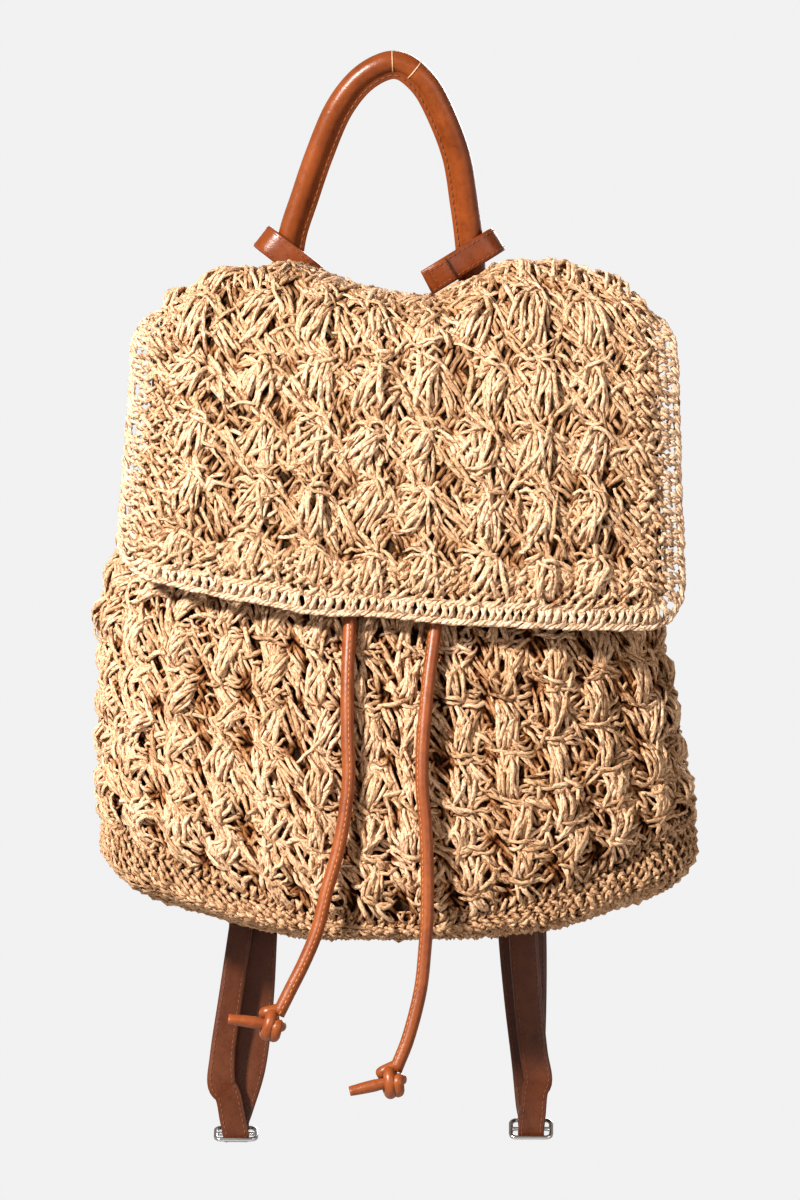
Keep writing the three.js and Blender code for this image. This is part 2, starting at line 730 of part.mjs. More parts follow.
function knot(name, cordEnd, awayAngle, tailAngle, extra) {
  const away = new THREE.Vector3(Math.cos(awayAngle * radians), 0, Math.sin(awayAngle * radians));
  const middle = cordEnd.clone().addScaledVector(away, knotDiameter / 2 + gap + extra);
  const outline = [new THREE.Vector2(0, knotProfile[0].along * knotLength)];
  knotProfile.forEach((row) => {
    outline.push(new THREE.Vector2(row.thick * knotDiameter / 2, row.along * knotLength));
  });
  outline.push(new THREE.Vector2(cordRadius, knotLength * 0.52));
  outline.push(new THREE.Vector2(cordRadius * 0.96, knotLength / 2 + tailLength));
  outline.push(new THREE.Vector2(0, knotLength / 2 + tailLength));
  const body = new THREE.LatheGeometry(outline, 12);
  body.deleteAttribute('normal');
  body.deleteAttribute('uv');
  const merged = mergeVertices(body, 1e-4);
  const positions = Array.from(merged.attributes.position.array);
  const geometry = outward(positions, Array.from(merged.index.array));
  const piece = addPiece(name, geometry, cordMaterial);
  piece.position.copy(middle);
  const tail = new THREE.Vector3(Math.cos(tailAngle * radians), 0, Math.sin(tailAngle * radians));
  piece.quaternion.setFromUnitVectors(new THREE.Vector3(0, 1, 0), tail);
}

knot('drawstring_knot_left', leftEnd, 236, 172, 1.2);
knot('drawstring_knot_right', rightEnd, 248, 193, 0.8);

// Slide buckles.

function toSolid(geometry) {
  const clean = geometry.clone();
  clean.deleteAttribute('normal');
  clean.deleteAttribute('uv');
  const merged = mergeVertices(clean, 1e-4);
  return new wasm.Manifold(new wasm.Mesh({
    numProp: 3,
    vertProperties: new Float32Array(merged.attributes.position.array),
    triVerts: new Uint32Array(merged.index.array),
  }));
}

function fromSolid(solid) {
  const mesh = solid.getMesh();
  const geometry = new THREE.BufferGeometry();
  geometry.setAttribute('position', new THREE.BufferAttribute(new Float32Array(mesh.vertProperties), 3));
  geometry.setIndex(Array.from(mesh.triVerts));
  return geometry;
}

// Wire frame with rounded corners and one bar across its middle.
function buckleGeometry() {
  const halfWidth = (buckleWidth - buckleWire) / 2;
  const halfLength = (buckleLength - buckleWire) / 2;
  const corner = Math.min(3, halfLength * 0.6);
  const rings = [];
  const corners = [[1, 1, 0], [-1, 1, 90], [-1, -1, 180], [1, -1, 270]];
  corners.forEach(([sx, sy, from]) => {
    [0, 30, 60, 90].forEach((turn) => {
      const angle = (from + turn) * radians;
      const out = new THREE.Vector3(Math.cos(angle), Math.sin(angle), 0);
      const middle = new THREE.Vector3(sx * (halfWidth - corner), sy * (halfLength - corner), 0);
      middle.addScaledVector(out, corner);
      rings.push(Array.from({ length: 8 }, (unused, i) => {
        const around = i * Math.PI / 4;
        return middle.clone()
          .addScaledVector(out, buckleWire / 2 * Math.cos(around))
          .add(new THREE.Vector3(0, 0, buckleWire / 2 * Math.sin(around)));
      }));
    });
  });
  const frame = loft(rings, true);
  const bar = new THREE.CylinderGeometry(buckleWire * 0.48, buckleWire * 0.48, halfWidth * 2, 8);
  bar.rotateZ(Math.PI / 2);
  return fromSolid(toSolid(frame).add(toSolid(bar)));
}

// Where each buckle hangs, and the middle line of its straps. Across values are shares of the
// straps' span, down values shares of that strap's drop, stand a share of the strap's distance
// from the bag's back.
const strapSides = {
  left: {
    buckleAcross: -0.865,
    buckleDown: 1.014,
    buckleTilt: 26,
    upper: [
      { down: 0, across: -0.57, width: 0.55, stand: 0.12 },
      { down: 0.055, across: -0.57, width: 0.8, stand: 0.9 },
      { down: 0.1, across: -0.575, width: 0.95, stand: 1.08 },
      { down: 0.17, across: -0.59, width: 1, stand: 0.8 },
      { down: 0.3, across: -0.63, width: 1, stand: 0.92 },
      { down: 0.5, across: -0.7, width: 1, stand: 1 },
      { down: 0.68, across: -0.76, width: 1, stand: 1 },
      { down: 0.76, across: -0.775, width: 1, stand: 0.98 },
      { down: 0.84, across: -0.785, width: 0.93, stand: 0.92 },
      { down: 0.92, across: -0.805, width: 0.75, stand: 0.8 },
      { down: 0.97, across: -0.845, width: 0.55, stand: 0.7 },
    ],
    lower: [
      { down: 0, across: -0.8, width: 0.9 },
      { down: 0.17, across: -0.834, width: 0.91 },
      { down: 0.45, across: -0.89, width: 0.93 },
      { down: 0.7, across: -0.938, width: 0.98 },
      { down: 0.81, across: -0.94, width: 1.1 },
    ],
  },
  right: {
    buckleAcross: 0.72,
    buckleDown: 0.99,
    buckleTilt: 43,
    upper: [
      { down: 0, across: 0.42, width: 0.55, stand: 0.15 },
      { down: 0.055, across: 0.43, width: 0.8, stand: 0.9 },
      { down: 0.1, across: 0.445, width: 0.95, stand: 1.08 },
      { down: 0.17, across: 0.48, width: 1, stand: 0.8 },
      { down: 0.3, across: 0.54, width: 1, stand: 0.92 },
      { down: 0.5, across: 0.61, width: 1, stand: 1 },
      { down: 0.68, across: 0.66, width: 1, stand: 1 },
      { down: 0.76, across: 0.674, width: 1, stand: 0.98 },
      { down: 0.84, across: 0.69, width: 0.88, stand: 0.92 },
      { down: 0.92, across: 0.705, width: 0.68, stand: 0.8 },
      { down: 0.97, across: 0.71, width: 0.55, stand: 0.7 },
    ],
    lower: [
      { down: 0, across: 0.655, width: 1.1 },
      { down: 0.17, across: 0.672, width: 1.12 },
      { down: 0.45, across: 0.7, width: 1.1 },
      { down: 0.7, across: 0.735, width: 1.08 },
      { down: 0.81, across: 0.758, width: 1.08 },
    ],
  },
};

const strapTop = -rimBelowHang + strapTopRise;
const lowerTop = keelLevel + lowerStrapRise;
const sideways = new THREE.Vector3(1, 0, 0);
const buckleDepth = backDepth + 7;
const barReach = (buckleLength - buckleWire) / 2;

Object.entries(strapSides).forEach(([side, rows]) => {
  const tilt = rows.buckleTilt * radians;
  const buckleLevel = keelLevel - rows.buckleDown * buckleHang;
  const slot = barReach / 2 * Math.cos(tilt);
  const frontSlot = buckleDepth - slot + 0.2;
  const backSlot = buckleDepth + slot + 0.2;
  const fold = -Math.max(barReach * Math.sin(tilt) + 0.3, 3.6);
  const buckle = addPiece(`slide_buckle_${side}`, buckleGeometry(), steelMaterial);
  buckle.position.set(rows.buckleAcross * strapSpan, buckleDepth, buckleLevel);
  buckle.rotation.set(tilt, 0, 0);

  // The upper strap hangs from the back rim, clear of the bag's back, and ends in the buckle.
  const upperRows = rows.upper.map((row) => {
    const x = row.across * strapSpan;
    const z = strapTop - row.down * (strapTop - buckleLevel);
    const face = z < wallLevel(deepestHeight, x) ? backDepth : wallFace(x, z, 1);
    const y = face + row.stand * strapStandOff + strapThickness / 2;
    return {
      at: new THREE.Vector3(x, y, z),
      across: sideways,
      width: strapWidth * row.width,
      thickness: strapThickness,
    };
  });
  [2, -3].forEach((above) => {
    upperRows.push({
      at: new THREE.Vector3(rows.buckleAcross * strapSpan, backSlot, buckleLevel + above + 4.6),
      across: sideways,
      width: strapEndWidth,
      thickness: tongueThickness,
    });
  });
  addPiece(`strap_${side}_upper`, strip(upperRows), strapMaterial);

  // The lower strap leaves the base seam at the back, thins to a tongue and turns in the buckle.
  const lowerRows = rows.lower.map((row) => {
    const x = row.across * strapSpan;
    const z = lowerTop - row.down * (lowerTop - buckleLevel);
    const y = backDepth * 0.97 + lowerStrapThickness / 2 + 1.5 + row.down * 2;
    return {
      at: new THREE.Vector3(x, y, z),
      across: sideways,
      width: strapEndWidth * row.width,
      thickness: lowerStrapThickness,
    };
  });
  const tongue = [
    { across: 0.1, depth: frontSlot - 0.6, above: 21 },
    { across: 0.04, depth: frontSlot, above: 8 },
    { across: 0, depth: frontSlot, above: fold * 0.3 },
    { across: 0, depth: frontSlot + 0.5, above: fold * 0.78 },
    { across: 0, depth: (frontSlot + backSlot) / 2, above: fold },
    { across: 0, depth: backSlot - 0.5, above: fold * 0.78 },
    { across: 0, depth: backSlot, above: fold * 0.2 },
  ];
  const last = rows.lower[rows.lower.length - 1];
  tongue.forEach((row) => {
    const across = rows.buckleAcross + (last.across - rows.buckleAcross) * row.across * 6;
    lowerRows.push({
      at: new THREE.Vector3(across * strapSpan, row.depth, buckleLevel + row.above),
      across: sideways,
      width: strapEndWidth,
      thickness: tongueThickness,
    });
  });
  addPiece(`strap_${side}_lower`, strip(lowerRows), strapMaterial);
});

export default bag;
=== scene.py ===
"""Straw flap backpack, dressed in Blender: crochet made of real strands of paper straw, leather
handle, cords and straps with their seams, wire slide buckles. Lengths are in millimetres until
mesh_object turns them into metres."""
import math
import bpy
import numpy as np
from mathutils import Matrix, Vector


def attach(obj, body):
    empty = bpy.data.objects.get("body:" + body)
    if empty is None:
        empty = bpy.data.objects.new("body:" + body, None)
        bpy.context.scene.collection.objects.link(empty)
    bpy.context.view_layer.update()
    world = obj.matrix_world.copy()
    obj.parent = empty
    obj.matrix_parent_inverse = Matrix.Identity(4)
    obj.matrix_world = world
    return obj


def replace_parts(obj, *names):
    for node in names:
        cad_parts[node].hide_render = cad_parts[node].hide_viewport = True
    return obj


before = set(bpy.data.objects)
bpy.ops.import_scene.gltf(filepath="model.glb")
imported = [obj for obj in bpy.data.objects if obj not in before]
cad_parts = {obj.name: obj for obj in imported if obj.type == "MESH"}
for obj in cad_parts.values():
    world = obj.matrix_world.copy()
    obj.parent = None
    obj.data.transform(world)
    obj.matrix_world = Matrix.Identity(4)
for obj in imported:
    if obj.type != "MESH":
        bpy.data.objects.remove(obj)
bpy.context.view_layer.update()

MM = 0.001
rng = np.random.default_rng(41)

# Camera: straight at the bag's front from far off, as in the photograph.
VIEW_DISTANCE = 9.0
VIEW_HEIGHT = 0.6396
VIEW_PLANE = -0.030
VIEW_CENTRE = (0.0016, -0.2782)


def make_camera():
    data = bpy.data.cameras.new("camera")
    camera = bpy.data.objects.new("camera", data)
    bpy.context.scene.collection.objects.link(camera)
    bpy.context.scene.camera = camera
    camera.location = (VIEW_CENTRE[0], VIEW_PLANE - VIEW_DISTANCE, VIEW_CENTRE[1])
    camera.rotation_euler = (math.pi / 2, 0, 0)
    data.sensor_fit = "VERTICAL"
    data.sensor_height = 24
    data.lens = data.sensor_height * VIEW_DISTANCE / VIEW_HEIGHT
    data.clip_end = 60


make_camera()


# Tables and curves.
def table(text):
    """Rows of numbers under named columns."""
    lines = [line.split() for line in text.strip().splitlines()]
    return {name: np.array([float(line[i]) for line in lines[1:]]) for i, name in enumerate(lines[0])}


def along(rows, order, column, at):
    """Smooth value of a column at a place between the rows."""
    x, y = rows[order], rows[column]
    at = np.asarray(at, float)
    last = len(x) - 1
    row = np.clip(np.searchsorted(x, at, side="left") - 1, 0, last - 1)
    before, after = np.maximum(row - 1, 0), np.minimum(row + 2, last)
    slope_in = (y[row + 1] - y[before]) / (x[row + 1] - x[before])
    slope_out = (y[after] - y[row]) / (x[after] - x[row])
    span = x[row + 1] - x[row]
    t = (at - x[row]) / span
    t2, t3 = t * t, t * t * t
    ends = (2 * t3 - 3 * t2 + 1) * y[row] + (3 * t2 - 2 * t3) * y[row + 1]
    return ends + (t3 - 2 * t2 + t) * span * slope_in + (t3 - t2) * span * slope_out


def smooth(points, count):
    """Round curves through rows of control points: (S, C, D) to (S, count, D)."""
    controls = points.shape[1]
    t = np.linspace(0, controls - 1, count)
    i = np.minimum(t.astype(int), controls - 2)
    f = (t - i)[None, :, None]
    p0 = points[:, np.maximum(i - 1, 0)]
    p1, p2 = points[:, i], points[:, i + 1]
    p3 = points[:, np.minimum(i + 2, controls - 1)]
    return 0.5 * (2 * p1 + (p2 - p0) * f + (2 * p0 - 5 * p1 + 4 * p2 - p3) * f ** 2
                  + (3 * p1 - p0 - 3 * p2 + p3) * f ** 3)


def run_along(points):
    """Length of a line from its start to each of its points."""
    return np.concatenate([[0], np.cumsum(np.linalg.norm(np.diff(points, axis=0), axis=1))])


def full_turn(count):
    return np.arange(count) * 2 * math.pi / count


def bell(x, middle, width):
    return np.exp(-((x - middle) / width) ** 2)


def between(grid, i, j, a, b):
    """Value between four neighbours of a grid, a share across and b down."""
    low = grid[j, i] * (1 - a) + grid[j, i + 1] * a
    return low * (1 - b) + (grid[j + 1, i] * (1 - a) + grid[j + 1, i + 1] * a) * b


def path_through(points, step):
    """Evenly spaced points about a step apart on the centripetal curve through points."""
    p = np.asarray(points, float)
    p = np.vstack([2 * p[0] - p[1], p, 2 * p[-1] - p[-2]])
    out = []
    for i in range(1, len(p) - 2):
        a, b, c, d = p[i - 1:i + 3]
        t1 = max(np.linalg.norm(b - a), 1e-6) ** 0.5
        t2 = t1 + max(np.linalg.norm(c - b), 1e-6) ** 0.5
        t3 = t2 + max(np.linalg.norm(d - c), 1e-6) ** 0.5
        t = np.linspace(t1, t2, 24, endpoint=False)[:, None]
        ab = (t1 - t) / t1 * a + t / t1 * b
        bc = (t2 - t) / (t2 - t1) * b + (t - t1) / (t2 - t1) * c
        cd = (t3 - t) / (t3 - t2) * c + (t - t2) / (t3 - t2) * d
        abc = (t2 - t) / t2 * ab + t / t2 * bc
        bcd = (t3 - t) / (t3 - t1) * bc + (t - t1) / (t3 - t1) * cd
        out.append((t2 - t) / (t2 - t1) * abc + (t - t1) / (t2 - t1) * bcd)
    fine = np.vstack(out + [p[-2:-1]])
    length = run_along(fine)
    at = np.linspace(0, length[-1], max(int(round(length[-1] / step)), 2) + 1)
    return np.stack([np.interp(at, length, fine[:, k]) for k in range(fine.shape[1])], axis=1)


# Driving sizes, as in the CAD source.
BAG_WIDTH, FRONT_DEPTH, BACK_DEPTH = 316.0, 73.0, 37.0
RIM, WALL_DROP, SEAM_RISE, BASE_DROP = -136.0, 316.0, 58.0, 6.5
PLEAT_DEPTH, PLEATS, NECK_HEIGHT, DEEPEST = 2.6, 15, 0.92, 0.2
FLAP_WIDTH, FLAP_DROP, FOLD_RISE, SIDE_CURL = 300.0, 155.0, 38.0, 24.0
FLAP_ROOM, FLAP_THICK, CORNER, FRONT_START = 4.0, 6.0, 22.0, 0.45
EDGING_WIDTH, EDGING_GAP = 11.0, 0.9
CORD, CORD_CLEAR, CORD_SPAN, NECK_CLEAR, GAP = 7.4, 2.0, 60.0, 2.3, 0.35
SEAM = RIM - WALL_DROP
KEEL = SEAM - BASE_DROP
KEEL_END_RISE, KEEL_RIGHT_RISE = 30.0, 20.0

WALL = table("""
height width shift  front back square pleat
0      1     0      0.84  0.86 2.7    0
0.05   1.002 -0.008 0.94  0.95 2.7    0
0.14   0.99  -0.02  1     1    2.7    0
0.26   0.98  -0.035 1     1    2.6    0.06
0.4    0.955 -0.047 0.96  0.97 2.6    0.2
0.52   0.918 -0.05  0.89  0.92 2.5    0.4
0.65   0.86  -0.042 0.8   0.83 2.4    0.65
0.8    0.785 -0.03  0.67  0.66 2.3    0.9
0.92   0.725 -0.02  0.56  0.52 2.2    1
1      0.765 -0.02  0.62  0.57 2.2    0.9
""")
BASE = table("""
step reach drop
0    1     0
1    1.006 0.42
2    0.972 0.66
3    0.86  0.81
4    0.64  0.9
5    0.34  0.97
6    0     1
""")
FLAP = table("""
along forward rise left  right
0     0       0    0.65  0.7
0.06  -0.012  0.45 0.67  0.72
0.12  0.05    0.8  0.7   0.75
0.18  0.17    0.97 0.73  0.78
0.24  0.31    1    0.77  0.82
0.31  0.5     0.88 0.84  0.89
0.38  0.68    0.5  0.91  0.96
0.45  0.82    -0.1 0.945 0.99
0.56  0.915   -0.1 0.955 1.005
0.72  0.97    -0.1 0.975 1.018
0.86  0.995   -0.1 0.993 1.022
1     1       -0.1 1.006 1.03
""")
ACROSS = table("""
across sag  hem
-1     0.64 0.83
-0.8   0.26 0.87
-0.6   0.07 0.915
-0.5   0    0.93
-0.28  0.22 0.97
-0.06  0.4  0.975
0.15   0.46 1
0.35   0.19 1.01
0.46   0.02 1.015
0.6    0.05 1.02
0.84   0.24 1.022
1      0.64  1.02
""")


# The surfaces that the crochet lies on.
def seam_level(x):
    share = x / (BAG_WIDTH / 2)
    return SEAM + SEAM_RISE * share * share


def section(height):
    """Sizes of the wall's plan outline at a height share."""
    half = BAG_WIDTH / 2
    return {
        "half": along(WALL, "height", "width", height) * half,
        "shift": along(WALL, "height", "shift", height) * half,
        "front": along(WALL, "height", "front", height) * FRONT_DEPTH,
        "back": along(WALL, "height", "back", height) * BACK_DEPTH,
        "square": along(WALL, "height", "square", height),
        "pleat": along(WALL, "height", "pleat", height) * PLEAT_DEPTH,
    }


def quarter(half, depth, square, share):
    """Point on a quarter of the outline, from the middle of the face to the side."""
    angle = np.linspace(0, math.pi / 2, 97)
    x = half * np.sin(angle) ** (2 / square)
    y = depth * np.clip(np.cos(angle), 0, 1) ** (2 / square)
    length = np.concatenate([[0], np.cumsum(np.hypot(np.diff(x), np.diff(y)))])
    return np.interp(share * length[-1], length, x), np.interp(share * length[-1], length, y)


def plan(sec, girth, inset=0.0):
    """Outline of a section: girth 0 is the front middle, 0.25 right, 0.5 back, 0.75 left."""
    girth = np.asarray(girth) % 1.0
    turn = girth * 4
    which = np.floor(turn).astype(int) % 4
    share = turn - np.floor(turn)
    x, y = np.zeros_like(girth), np.zeros_like(girth)
    for k in range(4):
        pick = which == k
        depth = (sec["front"] if k in (0, 3) else sec["back"]) - inset
        reach = share[pick] if k in (0, 2) else 1 - share[pick]
        px, py = quarter(sec["half"] - inset, depth, sec["square"], reach)
        x[pick] = px if k < 2 else -px
        y[pick] = -py if k in (0, 3) else py
    ripple = 1 + sec["pleat"] * np.cos(2 * math.pi * PLEATS * girth) / np.hypot(x, y)
    return sec["shift"] + x * ripple, y * ripple


GRID_HEIGHTS, GRID_GIRTHS = np.linspace(0, 1, 161), np.linspace(0, 1, 721)
BASE_STEPS = 6


def wall_grid():
    rows = []
    for height in GRID_HEIGHTS:
        x, y = plan(section(height), GRID_GIRTHS)
        seam = seam_level(x)
        rows.append(np.stack([x, y, seam + (RIM - seam) * height], axis=-1))
    return np.array(rows)


def base_grid():
    steps = np.linspace(0, BASE_STEPS, 121)
    x, y = plan(section(0.0), GRID_GIRTHS)
    seam = seam_level(x) - GAP
    reach = along(BASE, "step", "reach", steps)[:, None]
    drop = along(BASE, "step", "drop", steps)[:, None]
    end_rise = np.where(x > 0, KEEL_RIGHT_RISE, KEEL_END_RISE)
    keel = KEEL + end_rise * np.abs(x * reach / (BAG_WIDTH / 2)) ** 3
    return np.stack([x * reach, y * reach, seam + (keel - seam) * drop], axis=-1)


def depth_share(sec, x):
    """How deep a section is at x, as a share of its depth in the middle."""
    over = np.minimum(np.abs(x - sec["shift"]) / sec["half"], 0.98)
    return (1 - over ** sec["square"]) ** (1 / sec["square"])


FLAP_FRONT = -FRONT_DEPTH * float(along(WALL, "height", "front", 0.52)) - CORD - FLAP_ROOM - FLAP_THICK


def flap_face(across, at):
    """Outer face of the flap: across from -1 to 1, at from the back rim to the hem."""
    across, at = np.broadcast_arrays(np.asarray(across, float), np.asarray(at, float))
    half = half_width(across, at)
    rim = section(1.0)
    foot = rim["back"] * depth_share(rim, across * FLAP["left"][0] * FLAP_WIDTH / 2)
    forward = along(FLAP, "along", "forward", at)
    y = foot + (FLAP_FRONT + SIDE_CURL * np.abs(across) ** 4 - foot) * forward
    inside = np.clip(across, -1, 1)
    fold = FOLD_RISE * (1 - along(ACROSS, "across", "sag", inside))
    start = RIM + GAP
    over_top = start + fold * along(FLAP, "along", "rise", at)
    shoulder = start + fold * float(along(FLAP, "along", "rise", FRONT_START))
    hem = RIM - FLAP_DROP * along(ACROSS, "across", "hem", inside)
    down = shoulder + (hem - shoulder) * (at - FRONT_START) / (1 - FRONT_START)
    return np.stack([across * half, y, np.where(at <= FRONT_START, over_top, down)], axis=-1)


def half_width(side, at):
    left, right = along(FLAP, "along", "left", at), along(FLAP, "along", "right", at)
    return np.where(np.asarray(side) < 0, left, right) * FLAP_WIDTH / 2


FLAP_REACH, FLAP_PAST = 1.04, 1.03


def flap_grid():
    return flap_face(np.linspace(-FLAP_REACH, FLAP_REACH, 313)[None, :],
                     np.linspace(0, FLAP_PAST, 331)[:, None])


class Sheet:
    """A grid of points that crochet lies on: u runs across, v along, and heights stand off it."""

    def __init__(self, points, u_range, v_range, closed=False):
        self.u_range, self.v_range, self.closed = u_range, v_range, closed
        du = np.gradient(points, axis=1)
        if closed:
            du[:, 0] = du[:, -1] = points[:, 1] - points[:, -2]
        normal = np.cross(du, np.gradient(points, axis=0))
        length = np.linalg.norm(normal, axis=2, keepdims=True)
        self.normals = normal / np.maximum(length, 1e-9)
        self.points = points

    def raise_by(self, height):
        self.points = self.points + self.normals * np.asarray(height)[..., None]

    def _read(self, grid, u, v):
        r, c = grid.shape[:2]
        across = (u - self.u_range[0]) / (self.u_range[1] - self.u_range[0])
        across = across % 1.0 if self.closed else np.clip(across, 0, 1)
        down = np.clip((v - self.v_range[0]) / (self.v_range[1] - self.v_range[0]), 0, 1)
        x, y = across * (c - 1), down * (r - 1)
        i, j = np.minimum(x.astype(int), c - 2), np.minimum(y.astype(int), r - 2)
        a, b = (x - i)[..., None], (y - j)[..., None]
        return between(grid, i, j, a, b)

    def at(self, u, v, height):
        u, v, height = np.broadcast_arrays(np.asarray(u, float), np.asarray(v, float), height)
        return self._read(self.points, u, v) + self._read(self.normals, u, v) * height[..., None]

    def normal(self, u, v):
        return self._read(self.normals, u, v)


def lumps(points, amount, seed):
    """Low, broad unevenness of hand-made crochet."""
    r = np.random.default_rng(seed)
    out = np.zeros(points.shape[:2])
    waves = 7
    for _ in range(waves):
        way = r.normal(size=3)
        way /= np.linalg.norm(way)
        out += np.sin(points @ way * 2 * math.pi / r.uniform(45, 110) + r.uniform(0, 6.28))
    return out * amount / math.sqrt(waves)


def gathers():
    """Deeper folds of the wall just under the flap, deepest right of the middle."""
    rise = np.clip((GRID_HEIGHTS[:, None] - 0.34) / 0.25, 0, 1) ** 2
    fold = 1.7 * np.cos(2 * math.pi * PLEATS * GRID_GIRTHS) - 0.6
    deep = -5.0 * bell(GRID_GIRTHS, 0.062, 0.012) - 3.0 * bell(GRID_GIRTHS, 0.935, 0.014)
    return rise * (fold + deep)


# The stitches stand off these sheets, so the sheets lie deeper than the faces of the solids.
BAG_LUMPS, BAG_SEED, FLAP_LUMPS, FLAP_SEED = 1.3, 5, 1.0, 9
BASE_SUNK, WALL_SUNK, FLAP_SUNK, SINKS_OVER = 2.8, 5.4, 2.6, 0.12
wall_sheet = Sheet(wall_grid(), (0, 1), (0, 1), closed=True)
base_sheet = Sheet(base_grid()[::-1], (0, 1), (BASE_STEPS, 0), closed=True)
flap_sheet = Sheet(flap_grid()[::-1], (-FLAP_REACH, FLAP_REACH), (FLAP_PAST, 0))
sunk = BASE_SUNK + (WALL_SUNK - BASE_SUNK) * np.clip(GRID_HEIGHTS / SINKS_OVER, 0, 1)[:, None]
wall_sheet.raise_by(lumps(wall_sheet.points, BAG_LUMPS, BAG_SEED) - sunk + gathers())
base_sheet.raise_by(lumps(base_sheet.points, BAG_LUMPS, BAG_SEED) - BASE_SUNK)
flap_sheet.raise_by(lumps(flap_sheet.points, FLAP_LUMPS, FLAP_SEED) - FLAP_SUNK)

FLAP_MIDDLE = flap_face(np.zeros(61), np.linspace(0, 1, 61))
FLAP_LENGTH = float(run_along(FLAP_MIDDLE)[-1])


# Materials.
def new_material(name, roughness, specular):
    material = bpy.data.materials.new(name)
    material.use_nodes = True
    tree = material.node_tree
    shader = tree.nodes["Principled BSDF"]
    shader.inputs["Roughness"].default_value = roughness
    shader.inputs["Specular IOR Level"].default_value = specular
    return material, tree, shader


def connect(tree, socket, value):
    """Gives an input another node's output, or a constant."""
    if isinstance(value, bpy.types.NodeSocket):
        tree.links.new(value, socket)
    else:
        socket.default_value = value


def node(tree, kind, **values):
    made = tree.nodes.new("ShaderNode" + kind)
    for name, value in values.items():
        connect(tree, made.inputs[name], value)
    return made


def ramp(tree, source, stops):
    made = node(tree, "ValToRGB", Fac=source)
    while len(made.color_ramp.elements) < len(stops):
        made.color_ramp.elements.new(0.5)
    for element, (place, colour) in zip(made.color_ramp.elements, stops):
        element.position = place
        element.color = (*colour, 1)
    return made.outputs["Color"]


def multiply(tree, amount, a, b):
    """Colour a darkened by colour b."""
    made = tree.nodes.new("ShaderNodeMix")
    made.data_type = "RGBA"
    made.blend_type = "MULTIPLY"
    sockets = [s for s in made.inputs if s.enabled]
    for socket, value in zip(sockets, (amount, a, b)):
        connect(tree, socket, value)
    return [s for s in made.outputs if s.enabled][0]


def noise(tree, vector, scale, detail=3.0, roughness=0.5, distortion=0.0):
    made = node(tree, "TexNoise", Vector=vector, Scale=scale, Detail=detail, Roughness=roughness,
                Distortion=distortion)
    return made.outputs["Fac"]


def arithmetic(tree, operation, *values):
    made = tree.nodes.new("ShaderNodeMath")
    made.operation = operation
    for socket, value in zip(made.inputs, values):
        connect(tree, socket, value)
    return made.outputs["Value"]


def attribute(tree, name, output):
    made = tree.nodes.new("ShaderNodeAttribute")
    made.attribute_name = name
    return made.outputs[output]


def object_place(tree):
    return tree.nodes.new("ShaderNodeTexCoord").outputs["Object"]


def bump(tree, height, distance, strength=1.0, normal=None):
    made = node(tree, "Bump", Height=height, Distance=distance, Strength=strength)
    if normal is not None:
        tree.links.new(normal, made.inputs["Normal"])
    return made.outputs["Normal"]


def straw_material(name, light, middle, dark):
    """Twisted paper: streaks and creases run along the strand, tone varies from strand to strand. Shade
    is painted in as well: in the creases, on the deeper strands and deep in the weave.
    """
    material, tree, shader = new_material(name, 0.62, 0.18)
    fibre = attribute(tree, "fibre", "Vector")
    tone = attribute(tree, "tone", "Fac")
    streak = noise(tree, fibre, 1.9, 4.0, 0.62)
    crease = noise(tree, fibre, 0.75, 2.0, 0.5, 0.6)
    colour = ramp(tree, streak, [(0.38, dark), (0.46, middle), (0.56, light)])
    # Painted shade in the creases along each strand.
    shade = ramp(tree, crease, [(0.35, (0.3, 0.18, 0.1)), (0.42, (1, 1, 1))])
    colour = multiply(tree, 0.9, colour, shade)
    # Tone: random from strand to strand, plus painted shade where deeper bundles and the right of the
    # bag's front are given lower tones.
    tone_and_painted_shade = ramp(tree, tone, [(0.0, (0.26, 0.18, 0.11)), (0.5, (0.78, 0.71, 0.62)), (0.9, (1, 1, 1))])
    colour = multiply(tree, 1.0, colour, tone_and_painted_shade)
    # Painted shade: darker the deeper a point lies in the weave, and on each strand's underside.
    depth = ramp(tree, attribute(tree, "openness", "Fac"),
                 [(0.0, (0.022, 0.005, 0.0005)), (0.26, (0.18, 0.07, 0.014)), (0.48, (0.64, 0.47, 0.31)),
                  (0.76, (1, 1, 1))])
    tree.links.new(multiply(tree, 1.0, colour, depth), shader.inputs["Base Color"])
    folded = bump(tree, crease, 0.0009, 0.8, bump(tree, streak, 0.0005, 0.9))
    tree.links.new(folded, shader.inputs["Normal"])
    return material


def shade_ground_material(name, dark, light):
    """The close inner side of the crochet: an uneven sheet much darker than the straw, painted shade seen
    through the gaps between the stitches.
    """
    material, tree, shader = new_material(name, 0.85, 0.12)
    place = object_place(tree)
    knots = noise(tree, place, 260.0, 3.0, 0.6, 0.9)
    grain = noise(tree, place, 900.0, 3.0, 0.6)
    shade = arithmetic(tree, "MULTIPLY", knots, arithmetic(tree, "MULTIPLY_ADD", grain, 1.2, 0.4))
    tree.links.new(ramp(tree, shade, [(0.35, dark), (0.75, light)]), shader.inputs["Base Color"])
    tree.links.new(bump(tree, knots, 0.002), shader.inputs["Normal"])
    return material


